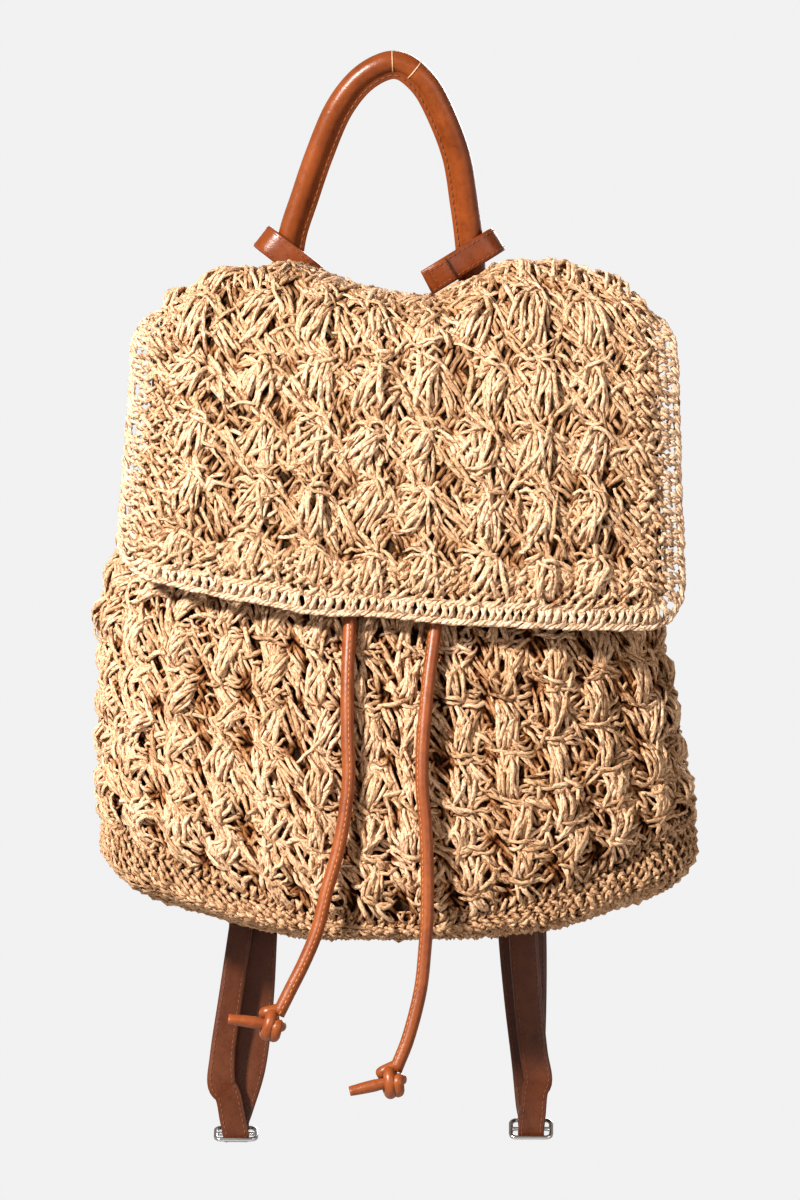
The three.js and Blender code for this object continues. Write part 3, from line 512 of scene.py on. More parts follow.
def leather_material(name, light, dark, roughness=0.42, gloss=0.42):
    material, tree, shader = new_material(name, roughness, gloss)
    place = object_place(tree)
    cloud = noise(tree, place, 38.0, 4.0, 0.6)
    pores = noise(tree, place, 1500.0, 2.0, 0.5)
    creases = noise(tree, place, 210.0, 5.0, 0.65, 0.8)
    colour = ramp(tree, cloud, [(0.32, dark), (0.62, light)])
    # Darker in the creases of the leather.
    darker_in_creases = ramp(tree, creases, [(0.36, (0.78, 0.74, 0.72)), (0.5, (1, 1, 1))])
    tree.links.new(multiply(tree, 0.8, colour, darker_in_creases), shader.inputs["Base Color"])
    grain = bump(tree, pores, 0.00012, 0.7, bump(tree, creases, 0.00035, 0.6))
    tree.links.new(grain, shader.inputs["Normal"])
    shader.inputs["Coat Weight"].default_value = 0.12
    shader.inputs["Coat Roughness"].default_value = 0.35
    return material


def thread_material(name, colour):
    material, tree, shader = new_material(name, 0.7, 0.25)
    fuzz = noise(tree, object_place(tree), 2600.0, 2.0)
    darker = tuple(0.6 * c for c in colour)
    tree.links.new(ramp(tree, fuzz, [(0.35, darker), (0.6, colour)]), shader.inputs["Base Color"])
    return material


def metal_material(name):
    material, tree, shader = new_material(name, 0.2, 0.5)
    shader.inputs["Base Color"].default_value = (0.62, 0.62, 0.63, 1)
    shader.inputs["Metallic"].default_value = 1.0
    scuffs = noise(tree, object_place(tree), 900.0, 3.0, 0.6)
    tree.links.new(bump(tree, scuffs, 0.00006, 0.4), shader.inputs["Normal"])
    return material


straw = straw_material("paper_straw", (0.88, 0.63, 0.44), (0.73, 0.48, 0.3), (0.38, 0.19, 0.085))
base_straw = straw_material("paper_straw_base", (0.8, 0.55, 0.37), (0.66, 0.42, 0.26), (0.32, 0.16, 0.07))
edge_straw = straw_material("paper_straw_edging", (0.9, 0.67, 0.49), (0.8, 0.56, 0.39), (0.5, 0.29, 0.15))
# Painted shade: ground sheets under the stitches, far darker than the straw, the wall and flap one near
# black.
base_painted_shade_ground = shade_ground_material("straw_base_painted_shade_ground", (0.06, 0.028, 0.01), (0.42, 0.26, 0.14))
ground = shade_ground_material("straw_painted_shade_ground", (0.012, 0.005, 0.002), (0.09, 0.045, 0.018))
handle_leather = leather_material("handle_leather", (0.25, 0.063, 0.013), (0.16, 0.036, 0.006), 0.32)
worn_leather = leather_material("worn_leather", (0.62, 0.42, 0.28), (0.45, 0.26, 0.15), 0.6)
loop_leather = leather_material("loop_leather", (0.22, 0.052, 0.01), (0.14, 0.03, 0.005), 0.34)
strap_leather = leather_material("strap_leather", (0.125, 0.036, 0.012), (0.09, 0.024, 0.008), 0.32, 0.4)
cord_leather = leather_material("cord_leather", (0.3, 0.082, 0.021), (0.21, 0.05, 0.012), 0.36)
light_thread = thread_material("light_thread", (0.62, 0.27, 0.11))
dark_thread = thread_material("dark_thread", (0.24, 0.095, 0.05))
steel = metal_material("polished_steel")


# Meshes.
def mesh_object(name, verts, faces, material, attributes=()):
    """A joined mesh: verts in millimetres, faces a list of (n, sides) index arrays."""
    mesh = bpy.data.meshes.new(name)
    verts = np.asarray(verts, float)
    mesh.vertices.add(len(verts))
    mesh.vertices.foreach_set("co", (verts * MM).ravel())
    corner = np.concatenate([f.ravel() for f in faces])
    sides = np.concatenate([np.full(len(f), f.shape[1]) for f in faces])
    start = np.concatenate([[0], np.cumsum(sides)[:-1]])
    mesh.loops.add(len(corner))
    mesh.loops.foreach_set("vertex_index", corner.astype(np.int32))
    mesh.polygons.add(len(sides))
    mesh.polygons.foreach_set("loop_start", start.astype(np.int32))
    mesh.polygons.foreach_set("use_smooth", np.ones(len(sides), bool))
    mesh.update(calc_edges=True)
    for label, kind, field, values in attributes:
        made = mesh.attributes.new(label, kind, "POINT")
        made.data.foreach_set(field, np.asarray(values, np.float32).ravel())
    mesh.materials.append(material)
    made = bpy.data.objects.new(name, mesh)
    bpy.context.scene.collection.objects.link(made)
    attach(made, "root")
    return made


def tube_faces(count, rings, sides):
    """Faces of a number of capped tubes whose vertices follow each other."""
    first = (np.arange(count) * rings * sides)[:, None, None]
    i = np.arange(rings - 1)[None, :, None] * sides
    k = np.arange(sides)[None, None, :]
    a, b = first + i + k, first + i + (k + 1) % sides
    walls = np.stack([a, b, b + sides, a + sides], axis=-1).reshape(-1, 4)
    start = (np.arange(count) * rings * sides)[:, None] + np.arange(sides)[None, ::-1]
    end = (np.arange(count) * rings * sides)[:, None] + (rings - 1) * sides + np.arange(sides)[None, :]
    return [walls, start, end]


def frames(path, normal):
    """Side and up directions along paths (S, P, 3) that start from a normal (S, 3)."""
    tangent = np.gradient(path, axis=1)
    tangent /= np.maximum(np.linalg.norm(tangent, axis=2, keepdims=True), 1e-9)
    side = np.cross(tangent, np.repeat(normal[:, None, :], path.shape[1], axis=1))
    weak = np.linalg.norm(side, axis=2, keepdims=True) < 0.2
    side = np.where(weak, np.cross(tangent, np.array([0.31, 0.2, 0.93])), side)
    side /= np.maximum(np.linalg.norm(side, axis=2, keepdims=True), 1e-9)
    return side, np.cross(side, tangent)


def yarn_tubes(name, path, radius, tone, normal, sides, material, depth, per_mm):
    """One mesh of irregular twisted strands along paths (S, P, 3). The attribute openness is 0 deep
    in the weave and 1 on its outer face, and lower on each strand's underside; depth gives it along
    the strands' middle lines. The straw material paints shade from it."""
    count, rings, _ = path.shape
    r = np.random.default_rng(count)
    side, up = frames(path, normal)
    run = np.concatenate([np.zeros((count, 1)),
                          np.cumsum(np.linalg.norm(np.diff(path, axis=1), axis=2), axis=1)], axis=1)
    share = run / np.maximum(run[:, -1:], 1e-6)
    thick = radius[:, None] * (1 - 0.28 * np.abs(2 * share - 1) ** 3)
    thick *= 1 + 0.14 * np.sin(share * r.uniform(9, 16, (count, 1)) + r.uniform(0, 6.28, (count, 1)))
    angle = full_turn(sides)
    uneven = 1 + 0.17 * np.sin(2 * angle + r.uniform(0, 6.28, (count, 1, 1))
                               + run[..., None] * r.uniform(0.12, 0.4, (count, 1, 1)))
    reach = thick[..., None] * uneven
    verts = (path[:, :, None, :] + side[:, :, None, :] * (np.cos(angle) * reach)[..., None]
             + up[:, :, None, :] * (np.sin(angle) * reach * 0.8)[..., None])
    # Painted shade: openness falls deeper in the weave and on the underside of each strand.
    openness = np.clip(depth[..., None] + np.sin(angle) * reach * 0.9 * per_mm, 0, 1)
    twist = angle + run[..., None] * 0.34
    start = r.uniform(0, 200, (count, 1, 1))
    fibre = np.stack([np.cos(twist) * 1.3 + start, np.sin(twist) * 1.3,
                      np.repeat(run[..., None] * 0.16, sides, axis=2) + start], axis=-1)
    return mesh_object(name, verts.reshape(-1, 3), tube_faces(count, rings, sides), material, [
        ("fibre", "FLOAT_VECTOR", "vector", fibre),
        ("tone", "FLOAT", "value", np.repeat(tone, rings * sides)),
        ("openness", "FLOAT", "value", openness.ravel()),
    ])


STRAND_STEPS = 6


class Strands:
    """Collects strands on a sheet, then makes them into one joined mesh. depths are the heights
    that count as deep in the weave and as its outer face; between them the painted shade goes from
    darkest to none."""

    def __init__(self, name, sheet, sides=5, steps=STRAND_STEPS, depths=(-0.8, 4.8)):
        self.name, self.sheet, self.sides, self.steps = name, sheet, sides, steps
        self.depths = depths
        self.controls, self.radii, self.tones = [], [], []

    def add(self, u, v, height, radius, tone):
        """u, v and height are (S, 4) control values, radius and tone (S,)."""
        self.controls.append(np.stack(np.broadcast_arrays(u, v, height), axis=-1))
        self.radii.append(np.broadcast_to(radius, len(u)))
        self.tones.append(np.broadcast_to(tone, len(u)))

    def build(self, material):
        bundles = [c if c.shape[1] == self.steps else smooth(c, self.steps) for c in self.controls]
        path = np.concatenate(bundles)
        points = self.sheet.at(path[..., 0], path[..., 1], path[..., 2])
        normal = self.sheet.normal(path[:, 1, 0], path[:, 1, 1])
        depth = (path[..., 2] - self.depths[0]) / (self.depths[1] - self.depths[0])
        return yarn_tubes(self.name, points, np.concatenate(self.radii),
                          np.clip(np.concatenate(self.tones), 0, 1), normal, self.sides, material,
                          depth, 1 / (self.depths[1] - self.depths[0]))


def grid_shell(name, outer, inner, material, closed=False):
    """A closed shell between two grids of points."""
    r, c = outer.shape[:2]
    last = c if closed else c - 1
    j, i = np.meshgrid(np.arange(r - 1), np.arange(last), indexing="ij")
    k = (i + 1) % c
    face = np.stack([j * c + i, j * c + k, (j + 1) * c + k, (j + 1) * c + i], axis=-1).reshape(-1, 4)
    faces = [face, face[:, ::-1] + r * c]
    i = np.arange(last)
    k = (i + 1) % c
    for row, turn in ((0, 1), (r - 1, -1)):
        edge = np.stack([row * c + k, row * c + i, r * c + row * c + i, r * c + row * c + k], axis=-1)
        faces.append(edge[:, ::turn])
    if not closed:
        j = np.arange(r - 1)
        for col, turn in ((0, 1), (c - 1, -1)):
            near, far = j * c + col, (j + 1) * c + col
            edge = np.stack([near, far, far + r * c, near + r * c], axis=-1)
            faces.append(edge[:, ::turn])
    verts = np.concatenate([outer.reshape(-1, 3), inner.reshape(-1, 3)])
    return mesh_object(name, verts, faces, material)


# Stitches.
YARN = 1.16
KINK, BEND, SWING, WEAVE = 0.22, 0.9, 0.13, 0.55
UNEVEN_LIFT, UNEVEN_YARN, UNEVEN_TONE = 0.45, 0.12, 0.14


def spread(shape, amount):
    return rng.normal(0, amount, shape)


class Cell:
    """One puff stitch: offsets in millimetres from its gather, turned by its lean."""

    def __init__(self, strands, place, per_mm, lean, size, tone, reach=9.0):
        self.strands, self.place, self.per_mm, self.reach = strands, place, per_mm, reach
        self.cos, self.sin = math.cos(lean), math.sin(lean)
        self.size, self.tone = size, tone

    def put(self, x, y, height, tone, thick=1.0, loose=1.0):
        """Lays a bundle of strands, each (S, 4) control values, with kinks of its own."""
        path = smooth(np.stack(np.broadcast_arrays(x, y, height), axis=-1), STRAND_STEPS)
        count = len(path)
        kink = spread((count, STRAND_STEPS, 2), KINK)
        middle = path[:, :, :2].mean(axis=1, keepdims=True)
        arm = path[..., :2] - middle
        swing = spread((count, 1), SWING)
        arm = np.stack([arm[..., 0] - arm[..., 1] * swing, arm[..., 1] + arm[..., 0] * swing], axis=-1)
        phase = np.linspace(0, 2 * math.pi, STRAND_STEPS) + rng.uniform(0, 2 * math.pi, (count, 1))
        aside = np.abs(arm[..., ::-1]).max(axis=1, keepdims=True)
        aside /= np.maximum(aside.max(axis=2, keepdims=True), 1)
        bend = aside * (np.sin(phase) * spread((count, 1), BEND))[..., None]
        path[..., :2] = (middle + arm + bend) * self.size[:2] + spread((count, 1, 2), loose) + kink
        weave = np.cos(phase * 1.3) * spread((count, 1), WEAVE)
        lift = path[..., 2] * self.size[2] + spread((count, 1), UNEVEN_LIFT) + weave
        u = self.place[0] + (path[..., 0] * self.cos + path[..., 1] * self.sin) * self.per_mm[0]
        v = self.place[1] + (path[..., 1] * self.cos - path[..., 0] * self.sin) * self.per_mm[1]
        u = np.clip(u, -self.reach, self.reach)
        self.strands.add(u, v, lift, YARN * thick * (1 + spread(count, UNEVEN_YARN)),
                         tone + self.tone + spread(count, UNEVEN_TONE))


def across_strands(*lists):
    """Control values of a bundle from one list per control point, each over its strands."""
    return np.stack(np.broadcast_arrays(*lists), axis=-1)


# The tones given to the bundles below are lower for most of the deeper ones: painted shade besides the
# random tone of each strand.
def fan(cell, count, wide, tall):
    """The raised puff: strands of uneven length spread from the gather and tuck under at the end."""
    k = np.linspace(-1, 1, count)
    dome = 1 - k * k
    reach = tall * rng.uniform(0.84, 1.06, count)
    start = rng.uniform(-2.6, 1.4, count)
    x = across_strands(k * 2.8 - 0.4, k * wide * 0.62 - 0.3, k * wide * 0.9, k * wide + 0.5)
    y = across_strands(start, reach * 0.32, reach * 0.7, reach)
    height = across_strands(1.2, 4.8 + 1.2 * dome, 4.8 + 1.4 * dome, -0.4)
    cell.put(x, y, height, 0.78, 1.1)
    x = np.array([[-wide * 0.9, -wide * 0.3, wide * 0.1, wide * 0.5],
                  [-wide * 0.1, wide * 0.2, wide * 0.5, wide * 0.8]])
    y = np.array([[tall * 0.9, tall * 0.62, tall * 0.34, tall * 0.02],
                  [tall * 1.02, tall * 0.74, tall * 0.46, tall * 0.2]])
    cell.put(x, y, np.array([[0.6, 5.6, 6.2, 1.6]]), 0.76, 1.08)


# Bundles of strands side by side: the four control points of the first strand, in millimetres
# from the gather, and how far each next strand lies from it.
COUNTER = table("""
x     x_each y     y_each rise rise_each
-13.5 3.1    -15.5 -0.8   -0.2 0
-9.2  2.6    -10.2 -0.4   3.2  0.3
-4.6  2      -4.6  0      4.4  0
-0.4  1.4    1.6   0.4    1.2  0
""")
FEEDERS = table("""
x    x_each y    y_each rise rise_each
-12  3.3    -13  -1.2   0.4  0
-8.2 2.5    -8.6 -0.6   2.3  0.3
-3.9 1.6    -4.3 0      3.4  0
-0.8 0.7    -0.4 0      2    0
""")
SWEEP_ONE_WAY = table("""
x    x_each y   y_each rise rise_each
2.6  0      0.2 2.7    1.6  0
7    0.4    2.6 3      3.3  -0.4
10.6 -0.2   6.8 2.4    2.9  -0.5
14.4 -0.8   8.4 2.9    0.8  0
""")
SWEEP_THE_OTHER = table("""
x     x_each y    y_each rise rise_each
-15.4 0.6    -1.6 2.7    0.8  0
-11   0.5    -4.4 2.8    3.6  -0.2
-6.4  0      -2.2 2.1    4    -0.2
-2    0      -3.6 1.6    2    0
""")
LATTICE = table("""
x    x_each y    y_each rise rise_each
1    2.4    9.6  -1.7   -0.4 0
6    2.3    16.4 -1.7   2.3  0.25
12   2.1    23.8 -1.6   2.5  0.25
17.4 1.9    31.2 -1.5   -0.6 0
""")


def bundle(cell, rows, count, tone, thick=1.0, lift=0.0):
    """Lays a bundle; lift raises its two middle control points."""
    k = np.arange(count)[:, None]
    cell.put(rows["x"] + rows["x_each"] * k, rows["y"] + rows["y_each"] * k,
             rows["rise"] + rows["rise_each"] * k + lift * np.array([0, 1, 1, 0]), tone, thick)


def counter(cell, count):
    """Strands that cross from the gather back to the last row, against the puff's lean."""
    bundle(cell, COUNTER, count, 0.68, 1.05)


def collar(cell, count=3):
    """Strands wrapped loosely over the gather, a row of control points each."""
    x = np.array([[-6.4, -2.4, 1.8, 6.2], [-5.8, -2.6, 2.6, 7.4], [-7.0, -3.2, 0.6, 3.4]])[:count]
    y = np.array([[3.4, -0.6, -1.8, 0.6], [-1.6, 0.2, 2.2, 6.2], [-3.4, -2.6, -3.4, -6.0]])[:count]
    turn = spread((count, 1), 0.3)
    height = np.array([[1.0, 4.4, 4.6, 1.2], [1.0, 5.0, 5.2, 1.4], [0.6, 3.4, 3.4, 0.6]])[:count]
    cell.put(x - y * turn, y + x * turn, height, 0.68)


def strays(cell, count):
    """Longer strands that lie over the others in either direction."""
    x0, y0 = rng.uniform(-14, 14, (count, 1)), rng.uniform(-4, 28, (count, 1))
    angle = np.where(rng.random(count) < 0.5, rng.normal(0.75, 0.25, count), rng.normal(-0.6, 0.3, count))
    run = np.linspace(-0.5, 0.5, 4)[None, :] * rng.uniform(13, 19, (count, 1))
    sin, cos = np.sin(angle)[:, None], np.cos(angle)[:, None]
    top = rng.uniform(2.6, 4.8, (count, 1))
    cell.put(x0 + run * sin, y0 + run * cos, np.array([[-1.6, 0.0, 0.0, -1.6]]) * 1.6 + top, 0.7, 1.05)


def feeders(cell):
    """Strands that come down to the gather from the side, between this row and the last."""
    bundle(cell, FEEDERS, 4, 0.6)


def sweeps(cell):
    """Loops from the gather towards the columns on both sides."""
    bundle(cell, SWEEP_ONE_WAY, 3, 0.6)
    bundle(cell, SWEEP_THE_OTHER, 5, 0.68)


def lattice(cell, lift=0.0):
    """Deeper strands from the gather down to the next row's gather, across the puff's lean."""
    bundle(cell, LATTICE, 6, 0.62, 1.08, lift)


def hooks(cell):
    """Small bent loops beside the fan, a row of control points each."""
    x = np.array([[8.6, 12.0, 11.6, 8.2], [-12.8, -9.4, -9.8, -13.0], [5.6, 9.2, 12.2, 11.0]])
    y = np.array([[9.4, 10.6, 14.4, 15.4], [9.0, 10.4, 14.0, 15.0], [5.2, 7.6, 9.0, 12.6]])
    height = np.array([[0.6, 3.2, 3.2, 0.2], [0.4, 2.6, 2.6, 0.2], [1.0, 2.8, 2.4, 0.4]])
    cell.put(x, y, height, 0.54, 0.95)


UNDER_STEP, UNDER_ROW, UNDER_LENGTH = 2.9, 8.5, 14.0


def underlay(strands, wide, tall, place, step=UNDER_STEP, lift=0.0):
    """Deep strands that close the ground, in small slanted bundles; place(x, y) gives u and v."""
    x, y = np.meshgrid(np.arange(0, wide, step), np.arange(0, tall, UNDER_ROW))
    x, y = x.ravel()[:, None], y.ravel()[:, None]
    count = len(x)
    bundle = np.sin(x * 0.31 + y * 0.23 + 1.7 * np.sin(y * 0.11)) + np.sin(y * 0.37 - x * 0.19)
    angle = np.where(bundle > 0.25, 0.6, -0.55) + spread((count, 1), 0.16)
    x = x + spread((count, 1), 0.9)
    y = y + spread((count, 1), 2.2)
    run = np.array([[-0.5, 0.0, 0.5]]) * UNDER_LENGTH * rng.uniform(0.8, 1.2, (count, 1))
    bend = np.array([[0.0, 1.0, 0.0]]) * spread((count, 1), 0.9)
    u, v = place(x + run * np.sin(angle) + bend, y + run * np.cos(angle))
    height = np.array([[-1.3, 0.6, -1.3]]) + rng.uniform(-0.6, 1.3, (count, 1)) + lift
    thick = YARN * 1.2 * (step / UNDER_STEP) ** 0.5
    # The deep strands get a low tone: painted shade besides their random tone.
    strands.add(u, v, height, thick * (1 + spread(count, 0.1)), 0.34 + spread(count, 0.13))


FLAP_ROW_PITCH, FLAP_FIRST_ROW, FLAP_ROWS = 32.3, -0.4, 8
FLAP_COLUMNS = [-0.92, -0.734, -0.492, -0.268, -0.07, 0.116, 0.326, 0.519, 0.712, 0.88]
FLAP_LEAN = 0.34
FLAP_DEPTHS = (-1.6, 4.0)
FLAP_MIDDLE_COLUMN, FLAP_BARE_EDGE = 0.06, 7.0
FOLD_FROM, FOLD_TO, FOLD_MIDDLE, FOLD_HALF = 0.06, 0.32, -0.04, 0.62
FLAT_PUFF, FULL_PUFF = 0.5, 1.25


def crochet_flap():
    """Rows of puffs down the flap; they lie flatter on the fold and fuller at its shoulders."""
    left = Strands("straw_flap_left", flap_sheet, depths=FLAP_DEPTHS)
    right = Strands("straw_flap_right", flap_sheet, depths=FLAP_DEPTHS)
    for column, across in enumerate(FLAP_COLUMNS):
        outer = column in (0, len(FLAP_COLUMNS) - 1)
        for row in range(FLAP_ROWS):
            place = FLAP_FIRST_ROW + row * FLAP_ROW_PITCH + spread((), 1.2)
            at = place / FLAP_LENGTH
            if outer and at > FRONT_START - 0.1:
                continue
            half = float(half_width(across, np.clip(at, 0, 1)))
            last = row == FLAP_ROWS - 1
            rise = 1.0
            if FOLD_FROM < at < FOLD_TO:
                rise = FLAT_PUFF if abs(across - FOLD_MIDDLE) < FOLD_HALF else FULL_PUFF
            size = np.array([1 + spread((), 0.07), (0.8 if last else 1.03) + spread((), 0.05),
                             rise + spread((), 0.13)])
            where = (across + spread((), 1.2) / half, at)
            half_flap = left if across < FLAP_MIDDLE_COLUMN else right
            per_mm = (1 / half, 1 / FLAP_LENGTH)
            reach = 1 - FLAP_BARE_EDGE / half
            cell = Cell(half_flap, where, per_mm, -FLAP_LEAN + spread((), 0.13), size,
                        spread((), 0.05) + 0.03, reach)
            fan(cell, count=7, wide=7.8, tall=26)
            collar(cell)
            cross = Cell(half_flap, where, per_mm, spread((), 0.1), size, tone=0, reach=reach)
            feeders(cross)
            if not last:
                lattice(cross)
                strays(cell, 7)
            sweeps(cross)
            hooks(cell)
    under = Strands("straw_flap_under", flap_sheet, sides=4, steps=3, depths=FLAP_DEPTHS)
    inset = EDGING_WIDTH + 3

    def place(x, y):
        at = y / FLAP_LENGTH
        across = x - FLAP_WIDTH / 2
        half = half_width(across, np.clip(at, 0, 1))
        return across / (FLAP_WIDTH / 2) * (half - inset) / half, np.minimum(at, 1 - inset / FLAP_LENGTH)

    underlay(under, FLAP_WIDTH, FLAP_LENGTH - inset, place, lift=1.2)
    for strands in (left, right, under):
        strands.build(straw)


WALL_COLUMNS = 29
WALL_ROWS = [14, 36, 60, 88, 117, 146, 175, 204, 233, 262, 291]
HIDDEN_FROM = 0.62
DRAWN_WIDTH, DRAWN_PITCH = 27.0, 29.0
WALL_LEAN, LEFT_LEAN, CROSS_LEAN, LEFT_CROSS_LEAN = 0.1, 0.5, 0.22, -0.3
# Painted shade darker towards the right of the bag's front, and the lattice sunk deeper there.
RIGHT_PAINTED_SHADE, RIGHT_DEPTH = -0.16, -1.6
BACK_UNDER_STEP = 6.2


def crochet_wall():
    """Rings of puffs round the wall, plainer at the back and under the flap."""
    names = ["front_right", "back_right", "back_left", "front_left"]
    sectors = [Strands("straw_wall_" + name, wall_sheet, 4 if "back" in name else 5) for name in names]
    for row, place in enumerate(WALL_ROWS):
        height = place / WALL_DROP
        pitch = (WALL_ROWS + [WALL_DROP])[row + 1] - place
        sec = section(height)
        fine = np.stack(plan(sec, np.linspace(0, 1, 401)), axis=-1)
        round_mm = float(run_along(fine)[-1])
        for column in range(WALL_COLUMNS):
            girth = (column + 0.5 + spread((), 0.04)) / WALL_COLUMNS
            x, y = (float(v[0]) for v in plan(sec, np.array([girth])))
            drop = RIM - float(seam_level(x))
            front = y < 0
            leftward = np.clip(-x / 150, 0, 1) if front else 0.1
            lean = WALL_LEAN + LEFT_LEAN * leftward + spread((), 0.17)
            wide = min(round_mm / WALL_COLUMNS / DRAWN_WIDTH, 1.05) * (1 + spread((), 0.08))
            tall = pitch / DRAWN_PITCH * (1 + spread((), 0.05))
            size = np.array([-wide, tall, 1.08 + spread((), 0.16)])
            sector, per_mm = sectors[int((girth % 1) * 4)], (1 / round_mm, 1 / drop)
            # Painted shade: the front's puffs get darker towards its right side.
            tone = RIGHT_PAINTED_SHADE * np.clip(x / 100, 0, 1) if front else 0
            cell = Cell(sector, (girth, height), per_mm, lean, size, spread((), 0.06) + tone)
            lean = CROSS_LEAN + LEFT_CROSS_LEAN * leftward + spread((), 0.1)
            cross = Cell(sector, (girth, height), per_mm, lean, size, tone=0)
            fan(cell, count=6, wide=5.8, tall=27)
            if front and height > HIDDEN_FROM:
                continue
            collar(cell, 2)
            lattice(cross, RIGHT_DEPTH * np.clip(x / 80, 0, 1) if front else 0.0)
            if front:
                counter(cross, 4)
                sweeps(cell)
                hooks(cell)
                strays(cell, 6)
    wide = 2 * BAG_WIDTH * 0.62
    for name, first, top, step in (("front", 0.75, HIDDEN_FROM, UNDER_STEP),
                                   ("back", 0.25, 1.0, BACK_UNDER_STEP)):
        under = Strands("straw_wall_under_" + name, wall_sheet, sides=4, steps=3)

        def place(x, y):
            return first + x / wide / 2, y / WALL_DROP

        underlay(under, wide, WALL_DROP * top, place, step)
        sectors.append(under)
    for strands in sectors:
        strands.build(straw)


def slanted(strands, place, start, length, pitch, wide, height, tone, thick=1.0, lean=0.5,
            skip=None, loose=0.28):
    """A row of small slanted V stitches along a line; place(s, d) gives its position. Stitches
    whose run is in one of the skipped stretches are left out."""
    count = max(int(round(length / pitch)), 1)
    s = start + (np.arange(count) + 0.5) * (length / count)
    s = s + spread(count, pitch * 0.1)
    if skip is not None:
        s = s[~skip(s)]
        count = len(s)
    for lean_way, lift in ((lean, 0.7), (-lean * 0.7, 0.0)):
        run = np.array([-0.55, -0.2, 0.25, 0.55])[None, :]
        ss = s[:, None] + run * pitch * 2 * lean_way + spread((count, 4), loose)
        dd = run * wide + spread((count, 4), loose) + spread((count, 1), 1.1 * loose)
        u, v = place(ss, dd)
        rise = np.array([[-0.3, 1.3, 1.3, -0.3]]) + height + lift + spread((count, 1), 1.4 * loose)
        strands.add(u, v, rise, YARN * 1.03 * thick * (1 + spread(count, 0.1)),
                    tone + spread(count, 0.13))


BASE_STITCH, BASE_ROW = 5.6, 4.1
BASE_DEPTHS = (-0.9, 1.9)
UNDERSIDE_STEP, UNDERSIDE_COARSE = 2.6, 1.35
RING_GIRTHS = np.linspace(0, 1, 241)


def ring_at(sheet, v):
    """Points all round a closed sheet at one height."""
    return sheet.at(RING_GIRTHS, np.full(len(RING_GIRTHS), v), np.zeros(len(RING_GIRTHS)))


def crochet_base():
    """Close rows of short stitches round the boat-shaped base and under it."""
    sets = [Strands("straw_base_" + name, base_sheet, sides=4, steps=3, depths=BASE_DEPTHS)
            for name in ("front", "back")]
    step = 0.05
    row = 0
    while step < 5.6:
        ring = ring_at(base_sheet, step)
        run = run_along(ring)
        ahead = ring_at(base_sheet, min(step + 0.1, BASE_STEPS))
        per_step = np.linalg.norm(ahead - ring, axis=1) / 0.1
        coarse = 1.0 if step < UNDERSIDE_STEP else UNDERSIDE_COARSE
        advance = BASE_ROW * coarse / max(float(np.percentile(per_step, 80)), 1.0)
        for half, strands in enumerate(sets):
            low = run[-1] * (0.75 if half == 0 else 0.25)

            def place(s, d):
                u = np.interp(s % run[-1], run, RING_GIRTHS)
                return u, np.clip(step + d * advance / BASE_ROW / coarse, 0, BASE_STEPS)

            slanted(strands, place, low + (row % 2) * BASE_STITCH / 2, run[-1] / 2,
                    pitch=BASE_STITCH * coarse, wide=BASE_ROW * coarse * 1.35, height=0.7,
                    tone=0.56, thick=1.08 * coarse, lean=0.42)
        step += advance
        row += 1
    for strands in sets:
        strands.build(base_straw)


def crochet_seam():
    """Two rows of stitches that cover the seam between the wall and the base."""
    strands = Strands("straw_seam", wall_sheet, sides=4, steps=3, depths=BASE_DEPTHS)
    for level, height in ((-0.4, 0.9), (3.6, 0.7)):
        share = level / WALL_DROP
        ring = ring_at(wall_sheet, max(share, 0))
        run = run_along(ring)
        drop = RIM - seam_level(ring[:, 0])

        def place(s, d):
            u = np.interp(s % run[-1], run, RING_GIRTHS)
            return u, share + d / np.interp(u, RING_GIRTHS, drop)

        slanted(strands, place, 0, run[-1], pitch=5.4, wide=5.6, height=height, tone=0.58, lean=0.4)
    strands.build(base_straw)


def border_line(inset, spacing=1.0):
    """Outline of the flap at an inset, down one side, along the hem and up the other: the across
    and at of its points."""
    ups = np.arange(FLAP_LENGTH * 0.93, CORNER, -spacing)
    turns = np.linspace(0, math.pi / 2, 24)
    corner_ups = CORNER - (CORNER - inset) * np.sin(turns)
    corner_reach = (CORNER - inset) * np.cos(turns)
    at = 1 - np.concatenate([ups, corner_ups]) / FLAP_LENGTH
    sides = []
    for side in (-1, 1):
        half = half_width(side, at)
        reach = np.concatenate([half[:len(ups)] - inset, half[len(ups):] - CORNER + corner_reach])
        sides.append(side * reach / half)
    left, right = sides
    hem = np.linspace(left[-1], right[-1], 260)[1:-1]
    return (np.concatenate([left, hem, right[::-1]]),
            np.concatenate([at, np.full(len(hem), at[-1]), at[::-1]]))


class Border:
    """Places along the flap's outline: s is the run along it, d the distance in from the edge."""

    def __init__(self):
        self.insets = np.array([0.0, 6.0, 12.0, 21.0])
        lines = [border_line(inset) for inset in self.insets]
        self.across = np.stack([line[0] for line in lines])
        self.at_share = np.stack([line[1] for line in lines])
        points = flap_sheet.at(self.across[1], self.at_share[1], np.zeros(len(self.across[1])))
        self.run = run_along(points)
        self.length = float(self.run[-1])

    def __call__(self, s, d):
        index = np.interp(s, self.run, np.arange(len(self.run)))
        level = np.interp(d, self.insets, np.arange(4.0))
        past = (d - self.insets[-1]) / (self.insets[-1] - self.insets[-2])
        level = np.where(past > 0, 3 + past, level)
        i = np.minimum(index.astype(int), len(self.run) - 2)
        j = np.clip(level.astype(int), 0, 2)
        a, b = index - i, level - j

        return between(self.across, i, j, a, b), between(self.at_share, i, j, a, b)


border = Border()


